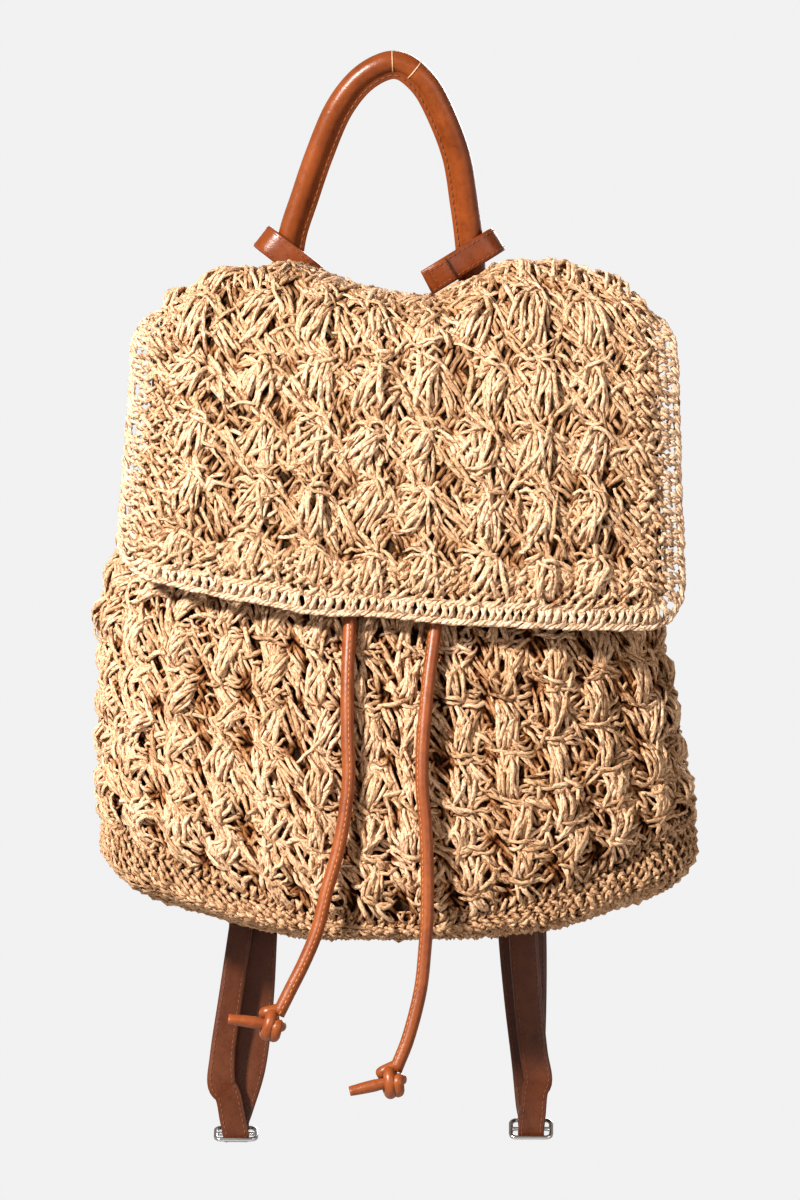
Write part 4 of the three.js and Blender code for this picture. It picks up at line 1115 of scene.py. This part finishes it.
def chain(strands, start, end, inset, pitch, radius, height, tone):
    """Two strands twisted round each other along the border."""
    count = int((end - start) / pitch)
    s0 = start + np.arange(count)[:, None] * pitch
    run = np.array([-0.65, -0.2, 0.3, 0.75])[None, :]
    for turn in (0, 1):
        ss = s0 + (run + turn * 0.5) * pitch + spread((count, 1), 0.25)
        dd = inset + np.array([[-1.3, -0.9, 0.9, 1.3]]) + spread((count, 1), 0.25)
        u, v = border(ss, dd)
        rise = np.array([[0.0, 1.1, 1.1, 0.0]]) + height + spread((count, 1), 0.2)
        strands.add(u, v, rise, radius * (1 + spread(count, 0.08)), tone + spread(count, 0.1))


HOLE_PITCH, HOLE_LENGTH = 10.7, 3.4


def crochet_edging():
    """Border of the flap: an outer chain, slanted stitches, and small holes down the sides."""
    strands = Strands("straw_edging", flap_sheet, steps=4, depths=(-1.8, 1.5))
    lowest = np.flatnonzero(border.at_share[1] >= border.at_share[1].max() - 1e-9)
    left, right = float(border.run[lowest[0]]) - 14, float(border.run[lowest[-1]]) + 14
    chain(strands, 0, border.length, inset=1.8, pitch=5.4, radius=1.15, height=0.4, tone=0.8)
    slanted(strands, lambda s, d: border(s, 6.4 + d), left, right - left, pitch=4.3, wide=7.2,
            height=0.8, tone=0.8, thick=1.06, lean=0.42)
    chain(strands, left, right, inset=10.6, pitch=5.6, radius=1.1, height=0.8, tone=0.7)
    for start, end, often in ((0, left, 2), (right, border.length, 1)):
        def holes(s):
            number = np.floor(s / HOLE_PITCH)
            return (s % HOLE_PITCH < HOLE_LENGTH) & (number % often == 0)

        slanted(strands, lambda s, d: border(s, 4.6 + d), start, end - start, pitch=3.3, wide=4.6,
                height=0.1, tone=0.74, thick=0.95, lean=0.4, skip=holes)
        slanted(strands, lambda s, d: border(s, 8.8 + d), start, end - start, pitch=4.2, wide=5.0,
                height=0.5, tone=0.7, lean=0.4)
    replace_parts(strands.build(edge_straw), "flap_edging")


# Inset from the flap's edge and height of each row.
MARGIN_ROWS = [(13.2, 1.0), (17.6, 1.8), (22.0, 1.8), (26.4, 0.9)]


def crochet_margin():
    """Close rows of small stitches between the border and the puff stitches of the flap."""
    strands = Strands("straw_flap_margin", flap_sheet, sides=4, steps=3, depths=(-1.0, 2.4))
    for inset, height in MARGIN_ROWS:
        slanted(strands, lambda s, d: border(s, inset + d), 0, border.length, pitch=6.2, wide=6.2,
                height=height, tone=0.72, thick=1.16, lean=0.55, loose=0.6)
    strands.build(straw)


crochet_flap()
crochet_wall()
crochet_base()
crochet_seam()
crochet_edging()
crochet_margin()


def close_ground(name, node, sheet, v, outer_depth, inner_depth, material):
    """A closed wall under the stitches of the bag."""
    u = np.linspace(0, 1, 120, endpoint=False)[None, :]
    outer, inner = (sheet.at(u, v[:, None], np.array(depth)) for depth in (outer_depth, inner_depth))
    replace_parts(grid_shell(name, outer, inner, material, closed=True), node)


# The ground shells carry painted shade: they are seen only through the gaps between the stitches.
close_ground("straw_wall_ground", "bag_wall", wall_sheet, np.linspace(0, 1, 36), -0.4, -2.6, ground)
close_ground("straw_base_painted_shade_ground", "bag_base", base_sheet, np.linspace(BASE_STEPS, 0, 30)[1:],
             -0.2, -2.6, base_painted_shade_ground)


def flap_ground():
    """Closed ground under the flap's stitches, inside the open border. It is the sheet that was
    worked flat, as wide as its rows are long, with rounded lower corners."""
    inset = EDGING_WIDTH + EDGING_GAP
    turns = np.linspace(0, 1, 9) * math.pi / 2
    ups = np.concatenate([np.linspace(FLAP_LENGTH, CORNER, 50),
                          CORNER - (CORNER - inset) * np.sin(turns[1:])])
    fall = np.maximum(CORNER - ups, 0)
    rounding = np.sqrt(np.maximum((CORNER - inset) ** 2 - fall ** 2, 0))
    cut_in = np.where(fall == 0, inset, CORNER - rounding)
    at = 1 - ups / FLAP_LENGTH
    left, right = half_width(-1, at), half_width(1, at)
    across = np.linspace(-(left - cut_in) / left, (right - cut_in) / right, 40, axis=1)
    outer, inner = (flap_sheet.at(across, at[:, None], np.array(depth)) for depth in (0.2, -2.4))
    # Painted shade: the flap's ground sheet is near black.
    made = grid_shell("straw_flap_ground", outer, inner, ground)
    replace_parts(made, "flap")


flap_ground()


# Leather parts.
def sweep(name, path, ring, side, up, material):
    """A closed tube: ring(i) gives the section's (side, up) offsets at each point of the path."""
    sections = np.array([ring(i) for i in range(len(path))])
    verts = (path[:, None, :] + side[:, None, :] * sections[..., 0:1]
             + up[:, None, :] * sections[..., 1:2])
    faces = tube_faces(1, len(path), sections.shape[1])
    return mesh_object(name, verts.reshape(-1, 3), faces, material)


def unit(v):
    return v / np.maximum(np.linalg.norm(v, axis=-1, keepdims=True), 1e-9)


def path_frames(path, facing):
    """Side and up directions along a path, up as near as it can be to facing."""
    tangent = unit(np.gradient(path, axis=0))
    side = unit(np.cross(tangent, facing))
    return side, np.cross(side, tangent)


def in_front_view(angle):
    """Direction in the plane of the front view, its angle in degrees up from the right."""
    return np.array([math.cos(math.radians(angle)), 0, math.sin(math.radians(angle))])


def circle(radius, count):
    angle = full_turn(count)
    return np.stack([np.cos(angle), np.sin(angle)], axis=-1) * radius


def stitches(name, lines, length, pitch, thick, material):
    """Thread stitches along lines: each line is (points, outward directions)."""
    paths, normals = [], []
    for points, outward in lines:
        run = run_along(points)
        middle = np.arange(pitch / 2, run[-1] - pitch / 4, pitch)
        stretch = np.array([-0.5, -0.28, 0.28, 0.5]) * length
        sink = np.array([-0.35, 0.12, 0.12, -0.35])
        at = middle[:, None] + stretch[None, :]
        place = np.stack([np.interp(at, run, points[:, k]) for k in range(3)], axis=-1)
        away = np.stack([np.interp(at, run, outward[:, k]) for k in range(3)], axis=-1)
        paths.append(place + away * sink[None, :, None])
        normals.append(away[:, 1])
    path, normal = np.concatenate(paths), np.concatenate(normals)
    side, up = frames(path, normal)
    ring = circle(thick / 2, 4)
    verts = (path[:, :, None, :] + side[:, :, None, :] * ring[:, 0][:, None]
             + up[:, :, None, :] * ring[:, 1][:, None])
    return mesh_object(name, verts.reshape(-1, 3), tube_faces(len(path), 4, 4), material)


HANDLE_SPAN, FOOT_RISE, HANDLE, FLANGE, FLANGE_THICK = 100.0, 36.0, 11.6, 3.6, 3.0
FOOT_CLEAR = 1.05
HANDLE_RISE = -RIM - FOOT_RISE
HANDLE_PATH = table("""
across up     lean
-0.612 -1.27  1
-0.605 -1.15  0.97
-0.592 -1     0.9
-0.571 -0.89  0.82
-0.517 -0.728 0.68
-0.434 -0.488 0.45
-0.325 -0.237 0.2
-0.213 -0.092 0.07
-0.112 -0.022 0.01
-0.03  0.004  0
0.03   -0.004 0
0.085  -0.035 0.01
0.165  -0.115 0.07
0.235  -0.237 0.2
0.333  -0.488 0.45
0.378  -0.754 0.7
0.398  -0.9   0.83
0.41   -1.02  0.91
0.422  -1.15  0.97
0.43   -1.27  1
""")
# Across places of the two pale wear marks round the top of the handle.
HANDLE_CREASES = (-1.9, 8.8)


def handle_line(step):
    rim = section(1.0)
    foot = rim["back"] * depth_share(rim, HANDLE_SPAN / 2)
    back = foot + HANDLE / 2 + FOOT_CLEAR
    top = HANDLE / 2 + FLANGE
    points = np.stack([HANDLE_PATH["across"] * HANDLE_SPAN, HANDLE_PATH["lean"] * back,
                       top + HANDLE_PATH["up"] * HANDLE_RISE], axis=-1)
    return path_through(points, step)


def make_handle():
    """Rolled leather handle: a tube with a stitched flange along its inner side."""
    path = handle_line(1.6)
    tangent = unit(np.gradient(path, axis=0))
    inward = unit(np.stack([tangent[:, 2], np.zeros(len(path)), -tangent[:, 0]], axis=-1))
    side = unit(np.cross(tangent, inward))
    radius = HANDLE / 2
    root = math.asin(FLANGE_THICK / HANDLE) * 1.15
    turns = np.linspace(root, 2 * math.pi - root, 27)
    top = path[:, 2] > -FLANGE * 6
    crease = sum(bell(path[:, 0], place, 1.3) * top for place in HANDLE_CREASES)

    def ring(i):
        tube = np.stack([np.cos(turns), np.sin(turns)], axis=-1) * radius * (1 - 0.05 * crease[i])
        tube[:, 0] -= 0.35 * crease[i] * (np.cos(turns) < 0)
        edge = radius + FLANGE
        half = FLANGE_THICK / 2
        flange = np.array([[edge - 0.5, -half], [edge, -half * 0.55],
                           [edge, half * 0.55], [edge - 0.5, half]])
        return np.concatenate([flange, tube])

    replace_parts(sweep("leather_handle", path, ring, inward, side, handle_leather), "handle")
    lines = []
    for face in (-1, 1):
        seam = path + inward * (radius + FLANGE * 0.45) + side * face * (FLANGE_THICK / 2 + 0.1)
        lines.append((seam, side * face))
    stitches("handle_stitches", lines, length=2.9, pitch=3.9, thick=0.75, material=dark_thread)
    for number, place in enumerate(HANDLE_CREASES):
        i = int(np.argmin(np.where(top, np.abs(path[:, 0] - place), HANDLE_SPAN)))
        turn = np.linspace(0, 2 * math.pi, 36)[:, None]
        ring_line = path[i] + (side[i] * np.cos(turn) + inward[i] * np.sin(turn)) * (radius - 0.1)
        outward = unit(ring_line - path[i])
        along_ring = np.cross(outward, unit(path[i + 1] - path[i])[None, :])
        sweep("handle_crease_%d" % number, ring_line, lambda i: circle(0.42, 6), outward,
              unit(np.cross(along_ring, outward)), worn_leather)


make_handle()


def band_section(width, thick):
    """Outline of a strip of leather with soft edges."""
    w, t = width / 2, thick / 2
    edge = min(t * 0.9, w * 0.3)
    right = [[w, -t * 0.35], [w, t * 0.35], [w - edge * 0.35, t * 0.8], [w - edge, t]]
    top = [[w * f, t] for f in (0.35, -0.35)]
    left = [[-w + edge, t], [-w + edge * 0.35, t * 0.8], [-w, t * 0.35], [-w, -t * 0.35],
            [-w + edge * 0.35, -t * 0.8], [-w + edge, -t]]
    bottom = [[w * f, -t] for f in (-0.35, 0.35)]
    return np.array(right + top + left + bottom + [[w - edge, -t], [w - edge * 0.35, -t * 0.8]])


def make_band(name, path, across, width, thick, material, seam_in=2.0):
    """A strip of leather along a path, with a line of stitches near each edge. Its width and
    thickness are numbers, or have a value for each point of the path."""
    widths, thicks = (np.broadcast_to(size, len(path)) for size in (width, thick))
    tangent = unit(np.gradient(path, axis=0))
    across = unit(across - tangent * np.sum(across * tangent, axis=-1, keepdims=True))
    out = unit(np.cross(tangent, across))
    made = sweep(name, path, lambda i: band_section(widths[i], thicks[i]), across, out, material)
    lines = []
    for edge in (-1, 1):
        for face in (-1, 1):
            line = (path + across * (edge * (widths / 2 - seam_in))[:, None]
                    + out * (face * (thicks / 2 + 0.05))[:, None])
            lines.append((line, out * face))
    stitches(name + "_stitches", lines, length=2.2, pitch=3.1, thick=0.55, material=dark_thread)
    return made


LOOP_WIDTH, LOOP_THICK, LOOP_CLEAR = 14.0, 2.2, 2.1
LOOP_PATH = table("""
reach turn  apart advance
1     0     -0.2  0.9
0.62  0     -0.8  0.5
0.25  0     -1    0.12
0     -0.1  -1.02 0
0     -0.86 -0.8  0
0     -1.2  0     0
0     -0.86 0.8   0
0     -0.1  1.02  0
0.25  0     1     0.12
0.62  0     0.86  0.5
1     0     0.42  0.9
""")


def make_loop(name, node, foot, reach, angle, forward):
    """A folded strip that wraps one foot of the handle; its ends go into the straw."""
    fine = handle_line(0.5)
    i = int(round(foot * (len(fine) - 1)))
    middle, leg = fine[i], unit(fine[i + 1] - fine[i - 1])
    wrap = HANDLE / 2 + LOOP_CLEAR + LOOP_THICK / 2
    run = in_front_view(angle)
    upright = leg - run * float(run @ leg)
    skew = abs(float(run @ leg)) / np.linalg.norm(upright) * LOOP_WIDTH / 2
    ahead = LOOP_PATH["reach"] * reach + LOOP_PATH["turn"] * (wrap + skew)
    points = middle + run * ahead[:, None]
    points[:, 1] += LOOP_PATH["apart"] * wrap - LOOP_PATH["advance"] * forward
    path = path_through(points, 1.2)
    across = unit(upright)
    made = make_band(name, path, across, LOOP_WIDTH, LOOP_THICK, loop_leather, 1.8)
    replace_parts(made, node)
    return path, across


TAB_FROM, TAB_TO, TAB_THICK = 3.5, 14.5, 1.5


def make_tab(path, across):
    """The folded end of a loop, held down by a box of stitches."""
    front = np.arange(len(path)) < len(path) // 2
    end = path[0]
    if path[2, 1] > path[-3, 1]:
        front = ~front
        end = path[-1]
    run = np.linalg.norm(path - end, axis=1)
    middle = path[front & (run > TAB_FROM) & (run < TAB_TO)]
    out = unit(np.cross(np.gradient(middle, axis=0), across))
    out = out * np.where(out[:, 1:2] > 0, -1, 1)
    top = middle + out * (LOOP_THICK / 2 + 0.8)
    make_band("leather_loop_tab", top, across, LOOP_WIDTH - 1.2, TAB_THICK, loop_leather, 1.6)
    lines = []
    for at in (1, len(top) - 2):
        ends = np.array([-1, 1])[:, None] * across * (LOOP_WIDTH / 2 - 2.2)
        lines.append((top[at] + ends + out[at] * 0.8, np.repeat(out[at][None, :], 2, axis=0)))
    stitches("leather_loop_tab_box", lines, length=1.9, pitch=2.6, thick=0.55, material=dark_thread)


make_loop("leather_loop_left", "handle_loop_left", foot=0.083, reach=19, angle=-38, forward=3)
make_tab(*make_loop("leather_loop_right", "handle_loop_right", foot=0.915, reach=29, angle=212,
                    forward=12))


# Drawstring. The route points of the free ends are those of the CAD source.
LEFT_CORD = [
    [-24.6, -167], [-24, -180], [-24, -205], [-24.4, -240], [-24.6, -268], [-25, -289.5],
    [-26.4, -323.5], [-26.2, -350.8], [-25.6, -371], [-27.6, -391.2], [-31.4, -411.4],
    [-37.2, -432.3], [-42.6, -454.1], [-49.4, -470.6], [-55.8, -483.4], [-61.6, -495],
]
RIGHT_CORD = [
    [25.6, -167], [25.8, -180], [25.6, -205], [24.4, -240], [22.4, -268], [20.2, -293],
    [16.4, -323.5], [14, -350.8], [13.3, -364], [13.4, -378], [15.2, -398.2], [16, -418.4],
    [16, -445.6], [14.8, -463.2], [12.4, -485], [5.6, -511.4], [0.4, -524.6],
]
KNOT_DIAMETER, KNOT_LENGTH, TAIL_LENGTH = 17.0, 15.0, 15.0


def wall_front(x, z):
    """Front face of the wall at a place in the front view, without its pleats."""
    height = (z - seam_level(x)) / (RIM - seam_level(x))
    sec = section(min(max(height, 0.0), 1.0))
    return -float(sec["front"] * depth_share(sec, x))


def neck_line():
    """The run round the neck, from the right exit round the back to the left one."""
    sec = section(NECK_HEIGHT)
    out = PLEAT_DEPTH + CORD / 2 + NECK_CLEAR
    reach = {**sec, "half": sec["half"] + out, "front": sec["front"] + out, "back": sec["back"] + out,
             "pleat": 0.0}
    near = np.linspace(-0.2, 0.2, 801)
    across = plan(reach, near)[0]
    right = float(np.interp(CORD_SPAN / 2, across, near))
    left = 1 + float(np.interp(-CORD_SPAN / 2, across, near))
    x, y = plan(reach, np.linspace(right, left, 73))
    level = SEAM + (RIM - SEAM) * NECK_HEIGHT
    return np.stack([x, y, np.full(73, level)], axis=-1)


neck_points = neck_line()


def cord_route(points, exit_point, before):
    run = unit(exit_point - before)
    route = [exit_point + run * GAP * 1.4, exit_point + run * CORD / 2]
    lowest = KEEL + BASE_DROP + SEAM_RISE
    pleat = float(section(NECK_HEIGHT)["pleat"]) * 0.2
    for x, z in points:
        y = wall_front(x, max(z, lowest)) - pleat - CORD / 2 - CORD_CLEAR
        route.append(np.array([x, y, z]))
    return np.array(route)


def make_cord(name, path, seam_side):
    """A sewn leather cord: round, with a low seam and its stitches on one side."""
    side, up = path_frames(path, np.array([0.0, -1.0, 0.0]))
    turns = full_turn(20)
    reach = 1 + 0.05 * bell(turns, 2.0, 0.25) - 0.04 * np.cos(2 * turns)
    ring = circle(CORD / 2, 20) * reach[:, None]
    made = sweep(name, path, lambda i: ring, side, up, cord_leather)
    angle = 1.75 if seam_side < 0 else 0.9
    out = side * math.cos(angle) + up * math.sin(angle)
    stitches(name + "_stitches", [(path + out * (CORD / 2 + 0.05), out)], length=2.3, pitch=3.2,
             thick=0.6, material=light_thread)
    return made


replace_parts(make_cord("neck_cord", path_through(neck_points, 2.2), 1), "drawstring_neck")


def make_knot(name, end, away_angle, tail_angle, extra):
    """A knot: the cord winds nearly twice round its own tail, which sticks out flattened."""
    centre = end + in_front_view(away_angle) * (KNOT_DIAMETER / 2 + GAP + extra)
    axis = in_front_view(tail_angle)
    second = unit(np.cross(axis, np.array([0.0, 1.0, 0.0])))
    third = np.cross(axis, second)
    start = unit(end - centre)
    phase = math.atan2(float(start @ third), float(start @ second))
    turns = np.linspace(0, 2 * math.pi * 1.75, 30)
    reach = KNOT_DIAMETER / 2 - CORD * 0.36
    wraps = [centre + (second * math.cos(phase + a) + third * math.sin(phase + a)) * reach
             + axis * KNOT_LENGTH * (0.24 - 0.48 * a / turns[-1]) for a in turns]
    inner = [centre - axis * KNOT_LENGTH * 0.36, centre - axis * 1.0]
    tail = [centre + axis * (KNOT_LENGTH * 0.45), centre + axis * (KNOT_LENGTH / 2 + TAIL_LENGTH * 0.5),
            centre + axis * (KNOT_LENGTH / 2 + TAIL_LENGTH)]
    step = 1.1
    path = path_through(np.array([end, *wraps, *inner, *tail]), step)
    facing = np.array([0.0, -1.0, 0.05])
    count = len(path)
    rest = np.arange(count)[::-1] * step
    tangent = unit(np.gradient(path, axis=0))
    up = np.zeros_like(path)
    up[0] = unit(facing - tangent[0] * float(facing @ tangent[0]))
    for i in range(1, count):
        up[i] = unit(up[i - 1] - tangent[i] * float(up[i - 1] @ tangent[i]))
    side = np.cross(tangent, up)

    def ring(i):
        thin = 1 - 0.3 * math.exp(-rest[i] / 9)
        snug = 0.88 if rest[i] > TAIL_LENGTH else 0.94
        return circle(CORD / 2 * snug, 16) * np.array([1 + 0.1 * (1 - thin), thin])

    return sweep(name, path, ring, side, up, cord_leather)


# The cord's end is this far inside its knot.
CORD_TUCK = 3.4


def cord_with_knot(side, points, away, tail, extra):
    name = "left" if side < 0 else "right"
    exit_point, before = neck_points[[-1, -2]] if side < 0 else neck_points[[0, 1]]
    route = cord_route(points, exit_point, before)
    path = path_through(route, 1.6)
    tucked = np.vstack([path, path[-1] + unit(path[-1] - path[-2]) * CORD_TUCK])
    made = make_cord("leather_cord_" + name, tucked, side)
    knot = make_knot("leather_knot_" + name, route[-1], away, tail, extra)
    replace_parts(made, "drawstring_" + name)
    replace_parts(knot, "drawstring_knot_" + name)


cord_with_knot(-1, LEFT_CORD, away=236, tail=172, extra=1.2)
cord_with_knot(1, RIGHT_CORD, away=248, tail=193, extra=0.8)


# Shoulder straps and buckles.
STRAP_SPAN, STRAP_WIDTH, STRAP_END, STRAP_THICK = 100.0, 26.0, 14.0, 2.6
STRAP_TOP_RISE, STAND_OFF, LOWER_RISE, LOWER_THICK, TONGUE = 10.5, 14.0, 31.0, 3.4, 1.8
BUCKLE_WIDTH, BUCKLE_LENGTH, BUCKLE_WIRE, BUCKLE_HANG = 24.0, 15.5, 2.4, 105.0
BUCKLE_BEHIND = 7.0
BUCKLE_DEPTH = BACK_DEPTH + BUCKLE_BEHIND
UPPER = {
    "left": table("""
down  across width stand
0     -0.57  0.55  0.12
0.055 -0.57  0.8   0.9
0.1   -0.575 0.95  1.08
0.17  -0.59  1     0.8
0.3   -0.63  1     0.92
0.5   -0.7   1     1
0.68  -0.76  1     1
0.76  -0.775 1     0.98
0.84  -0.785 0.93  0.92
0.92  -0.805 0.75  0.8
0.97  -0.845 0.55  0.7
"""),
    "right": table("""
down  across width stand
0     0.42   0.55  0.15
0.055 0.43   0.8   0.9
0.1   0.445  0.95  1.08
0.17  0.48   1     0.8
0.3   0.54   1     0.92
0.5   0.61   1     1
0.68  0.66   1     1
0.76  0.674  1     0.98
0.84  0.69   0.88  0.92
0.92  0.705  0.68  0.8
0.97  0.71   0.55  0.7
"""),
}
LOWER = {
    "left": table("""
down across width
0    -0.8   0.9
0.17 -0.834 0.91
0.45 -0.89  0.93
0.7  -0.938 0.98
0.81 -0.94  1.1
"""),
    "right": table("""
down across width
0    0.655  1.1
0.17 0.672  1.12
0.45 0.7    1.1
0.7  0.735  1.08
0.81 0.758  1.08
"""),
}
# Across and down shares of each buckle, and its tilt in degrees.
BUCKLES = {"left": (-0.865, 1.014, 26.0), "right": (0.72, 0.99, 43.0)}


def wall_back(x, z):
    height = (z - seam_level(x)) / (RIM - seam_level(x))
    if height < DEEPEST:
        return BACK_DEPTH
    sec = section(min(height, 1.0))
    return float(sec["back"] * depth_share(sec, x))


def make_buckle(name, centre, tilt):
    """Rounded wire frame with one bar across its middle."""
    w, h = (BUCKLE_WIDTH - BUCKLE_WIRE) / 2, (BUCKLE_LENGTH - BUCKLE_WIRE) / 2
    corner = 3.0
    turns = full_turn(36)
    out = np.stack([np.cos(turns), np.sin(turns), np.zeros(len(turns))], axis=-1)
    quadrant = np.sign(np.stack([np.cos(turns + 1e-4), np.sin(turns + 1e-4), turns * 0], axis=-1))
    loop = quadrant * np.array([w - corner, h - corner, 0]) + out * corner
    ring = circle(BUCKLE_WIRE / 2, 12)
    verts = loop[:, None, :] + out[:, None, :] * ring[:, 0][:, None]
    verts = verts + np.array([0, 0, 1.0]) * ring[:, 1][:, None]
    count, sides = len(turns), len(ring)
    i, k = np.meshgrid(np.arange(count), np.arange(sides), indexing="ij")
    following = (i + 1) % count * sides
    a, b = i * sides + k, i * sides + (k + 1) % sides
    c, d = following + (k + 1) % sides, following + k
    frame_faces = np.stack([a, b, c, d], axis=-1).reshape(-1, 4)
    bar_x = np.linspace(-w, w, 3)
    bar = np.stack([np.repeat(bar_x[:, None], sides, 1), np.tile(ring[:, 0], (3, 1)),
                    np.tile(ring[:, 1], (3, 1))], axis=-1) * np.array([1, 0.96, 0.96])
    points = np.concatenate([verts.reshape(-1, 3), bar.reshape(-1, 3)])
    cos, sin = math.cos(math.radians(tilt)), math.sin(math.radians(tilt))
    turned = np.stack([points[:, 0], points[:, 1] * cos - points[:, 2] * sin,
                       points[:, 1] * sin + points[:, 2] * cos], axis=-1) + centre
    bar_faces = [f + count * sides for f in tube_faces(1, 3, sides)]
    return mesh_object(name, turned, [frame_faces, *bar_faces], steel)


def strap_part(side, part, points, step):
    """A strap through rows of x, y, z, width and thickness."""
    line = path_through(points, step)
    made = make_band("leather_strap_" + side + "_" + part, line[:, :3], np.array([1.0, 0, 0]),
                     line[:, 3], line[:, 4], strap_leather)
    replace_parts(made, "strap_" + side + "_" + part)


def make_strap(side):
    """Both parts of a shoulder strap with their buckle, the lower one folded round it."""
    across_b, down_b, tilt = BUCKLES[side]
    level = KEEL - down_b * BUCKLE_HANG
    half = (BUCKLE_LENGTH - BUCKLE_WIRE) / 2
    slot = half / 2 * math.cos(math.radians(tilt))
    front, back = BUCKLE_DEPTH - slot + 0.2, BUCKLE_DEPTH + slot + 0.2
    fold = -max(half * math.sin(math.radians(tilt)) + 0.3, 3.6)
    middle = across_b * STRAP_SPAN
    buckle = make_buckle("wire_buckle_" + side, np.array([middle, BUCKLE_DEPTH, level]), tilt)
    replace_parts(buckle, "slide_buckle_" + side)

    top = RIM + STRAP_TOP_RISE
    points = []
    for down, across, width, stand in zip(*UPPER[side].values()):
        x, z = across * STRAP_SPAN, top - down * (top - level)
        y = wall_back(x, z) + stand * STAND_OFF + STRAP_THICK / 2
        points.append([x, y, z, STRAP_WIDTH * width, STRAP_THICK])
    for above in (2, -3):
        points.append([middle, back, level + above + 4.6, STRAP_END, TONGUE])
    strap_part(side, "upper", points, 2.0)

    start = KEEL + LOWER_RISE
    points = []
    for down, across, width in zip(*LOWER[side].values()):
        y = BACK_DEPTH * 0.97 + LOWER_THICK / 2 + 1.5 + down * 2
        z = start - down * (start - level)
        points.append([across * STRAP_SPAN, y, z, STRAP_END * width, LOWER_THICK])
    tongue = [(0.6, front - 0.6, 21), (0.24, front, 8), (0, front, fold * 0.3),
              (0, front + 0.5, fold * 0.78), (0, (front + back) / 2, fold),
              (0, back - 0.5, fold * 0.78), (0, back, fold * 0.2)]
    last = LOWER[side]["across"][-1]
    for share, y, above in tongue:
        x = (across_b + (last - across_b) * share) * STRAP_SPAN
        points.append([x, y, level + above, STRAP_END, TONGUE])
    strap_part(side, "lower", points, 1.6)


make_strap("left")
make_strap("right")


# Studio: a pale floor far below, pale surroundings, a key light from the left, a weak fill from
# the right and a light from behind.
FLOOR = -3.0


def make_floor():
    mesh = bpy.data.meshes.new("floor")
    reach = 14.0
    corners = ((-reach, -reach), (reach, -reach), (reach, reach), (-reach, reach))
    mesh.from_pydata([(x, y, FLOOR) for x, y in corners], [], [(0, 1, 2, 3)])
    material, tree, shader = new_material("pale_floor", 0.9, 0.2)
    shader.inputs["Base Color"].default_value = (0.85, 0.85, 0.85, 1)
    mesh.materials.append(material)
    floor = bpy.data.objects.new("floor", mesh)
    bpy.context.scene.collection.objects.link(floor)


def make_light(name, place, size, power, colour=(1, 1, 1)):
    data = bpy.data.lights.new(name, "AREA")
    data.shape = "RECTANGLE"
    data.size, data.size_y = size
    data.energy = power
    data.color = colour
    light = bpy.data.objects.new(name, data)
    bpy.context.scene.collection.objects.link(light)
    light.location = place
    aim = Vector((0, 0, VIEW_CENTRE[1])) - Vector(place)
    light.rotation_euler = aim.to_track_quat("-Z", "Y").to_euler()


PALE, ROOM = 0.81, 0.3


def make_world(level):
    """Pale behind the bag at eye height, and dim, warm surroundings above and below."""
    world = bpy.data.worlds.new("studio")
    bpy.context.scene.world = world
    world.use_nodes = True
    tree = world.node_tree
    background = tree.nodes["Background"]
    place = tree.nodes.new("ShaderNodeTexCoord").outputs["Generated"]
    split = node(tree, "SeparateXYZ", Vector=place)
    height = arithmetic(tree, "ABSOLUTE", split.outputs["Z"])
    pale, dim = (PALE, PALE, PALE), (ROOM, ROOM * 0.92, ROOM * 0.82)
    tree.links.new(ramp(tree, height, [(0.06, pale), (0.16, dim)]), background.inputs["Color"])
    background.inputs["Strength"].default_value = level


make_floor()
make_light("key", (-1.75, -2.05, 0.95), (0.3, 0.3), 158, (1, 0.985, 0.96))
make_light("fill", (1.8, -2.4, 0.1), (1.6, 1.6), 14)
make_light("back", (0.9, 2.9, 0.9), (1.6, 1.6), 60)
make_world(0.92)
bpy.context.scene.view_settings.view_transform = "Standard"
bpy.context.scene.view_settings.look = "Medium High Contrast"
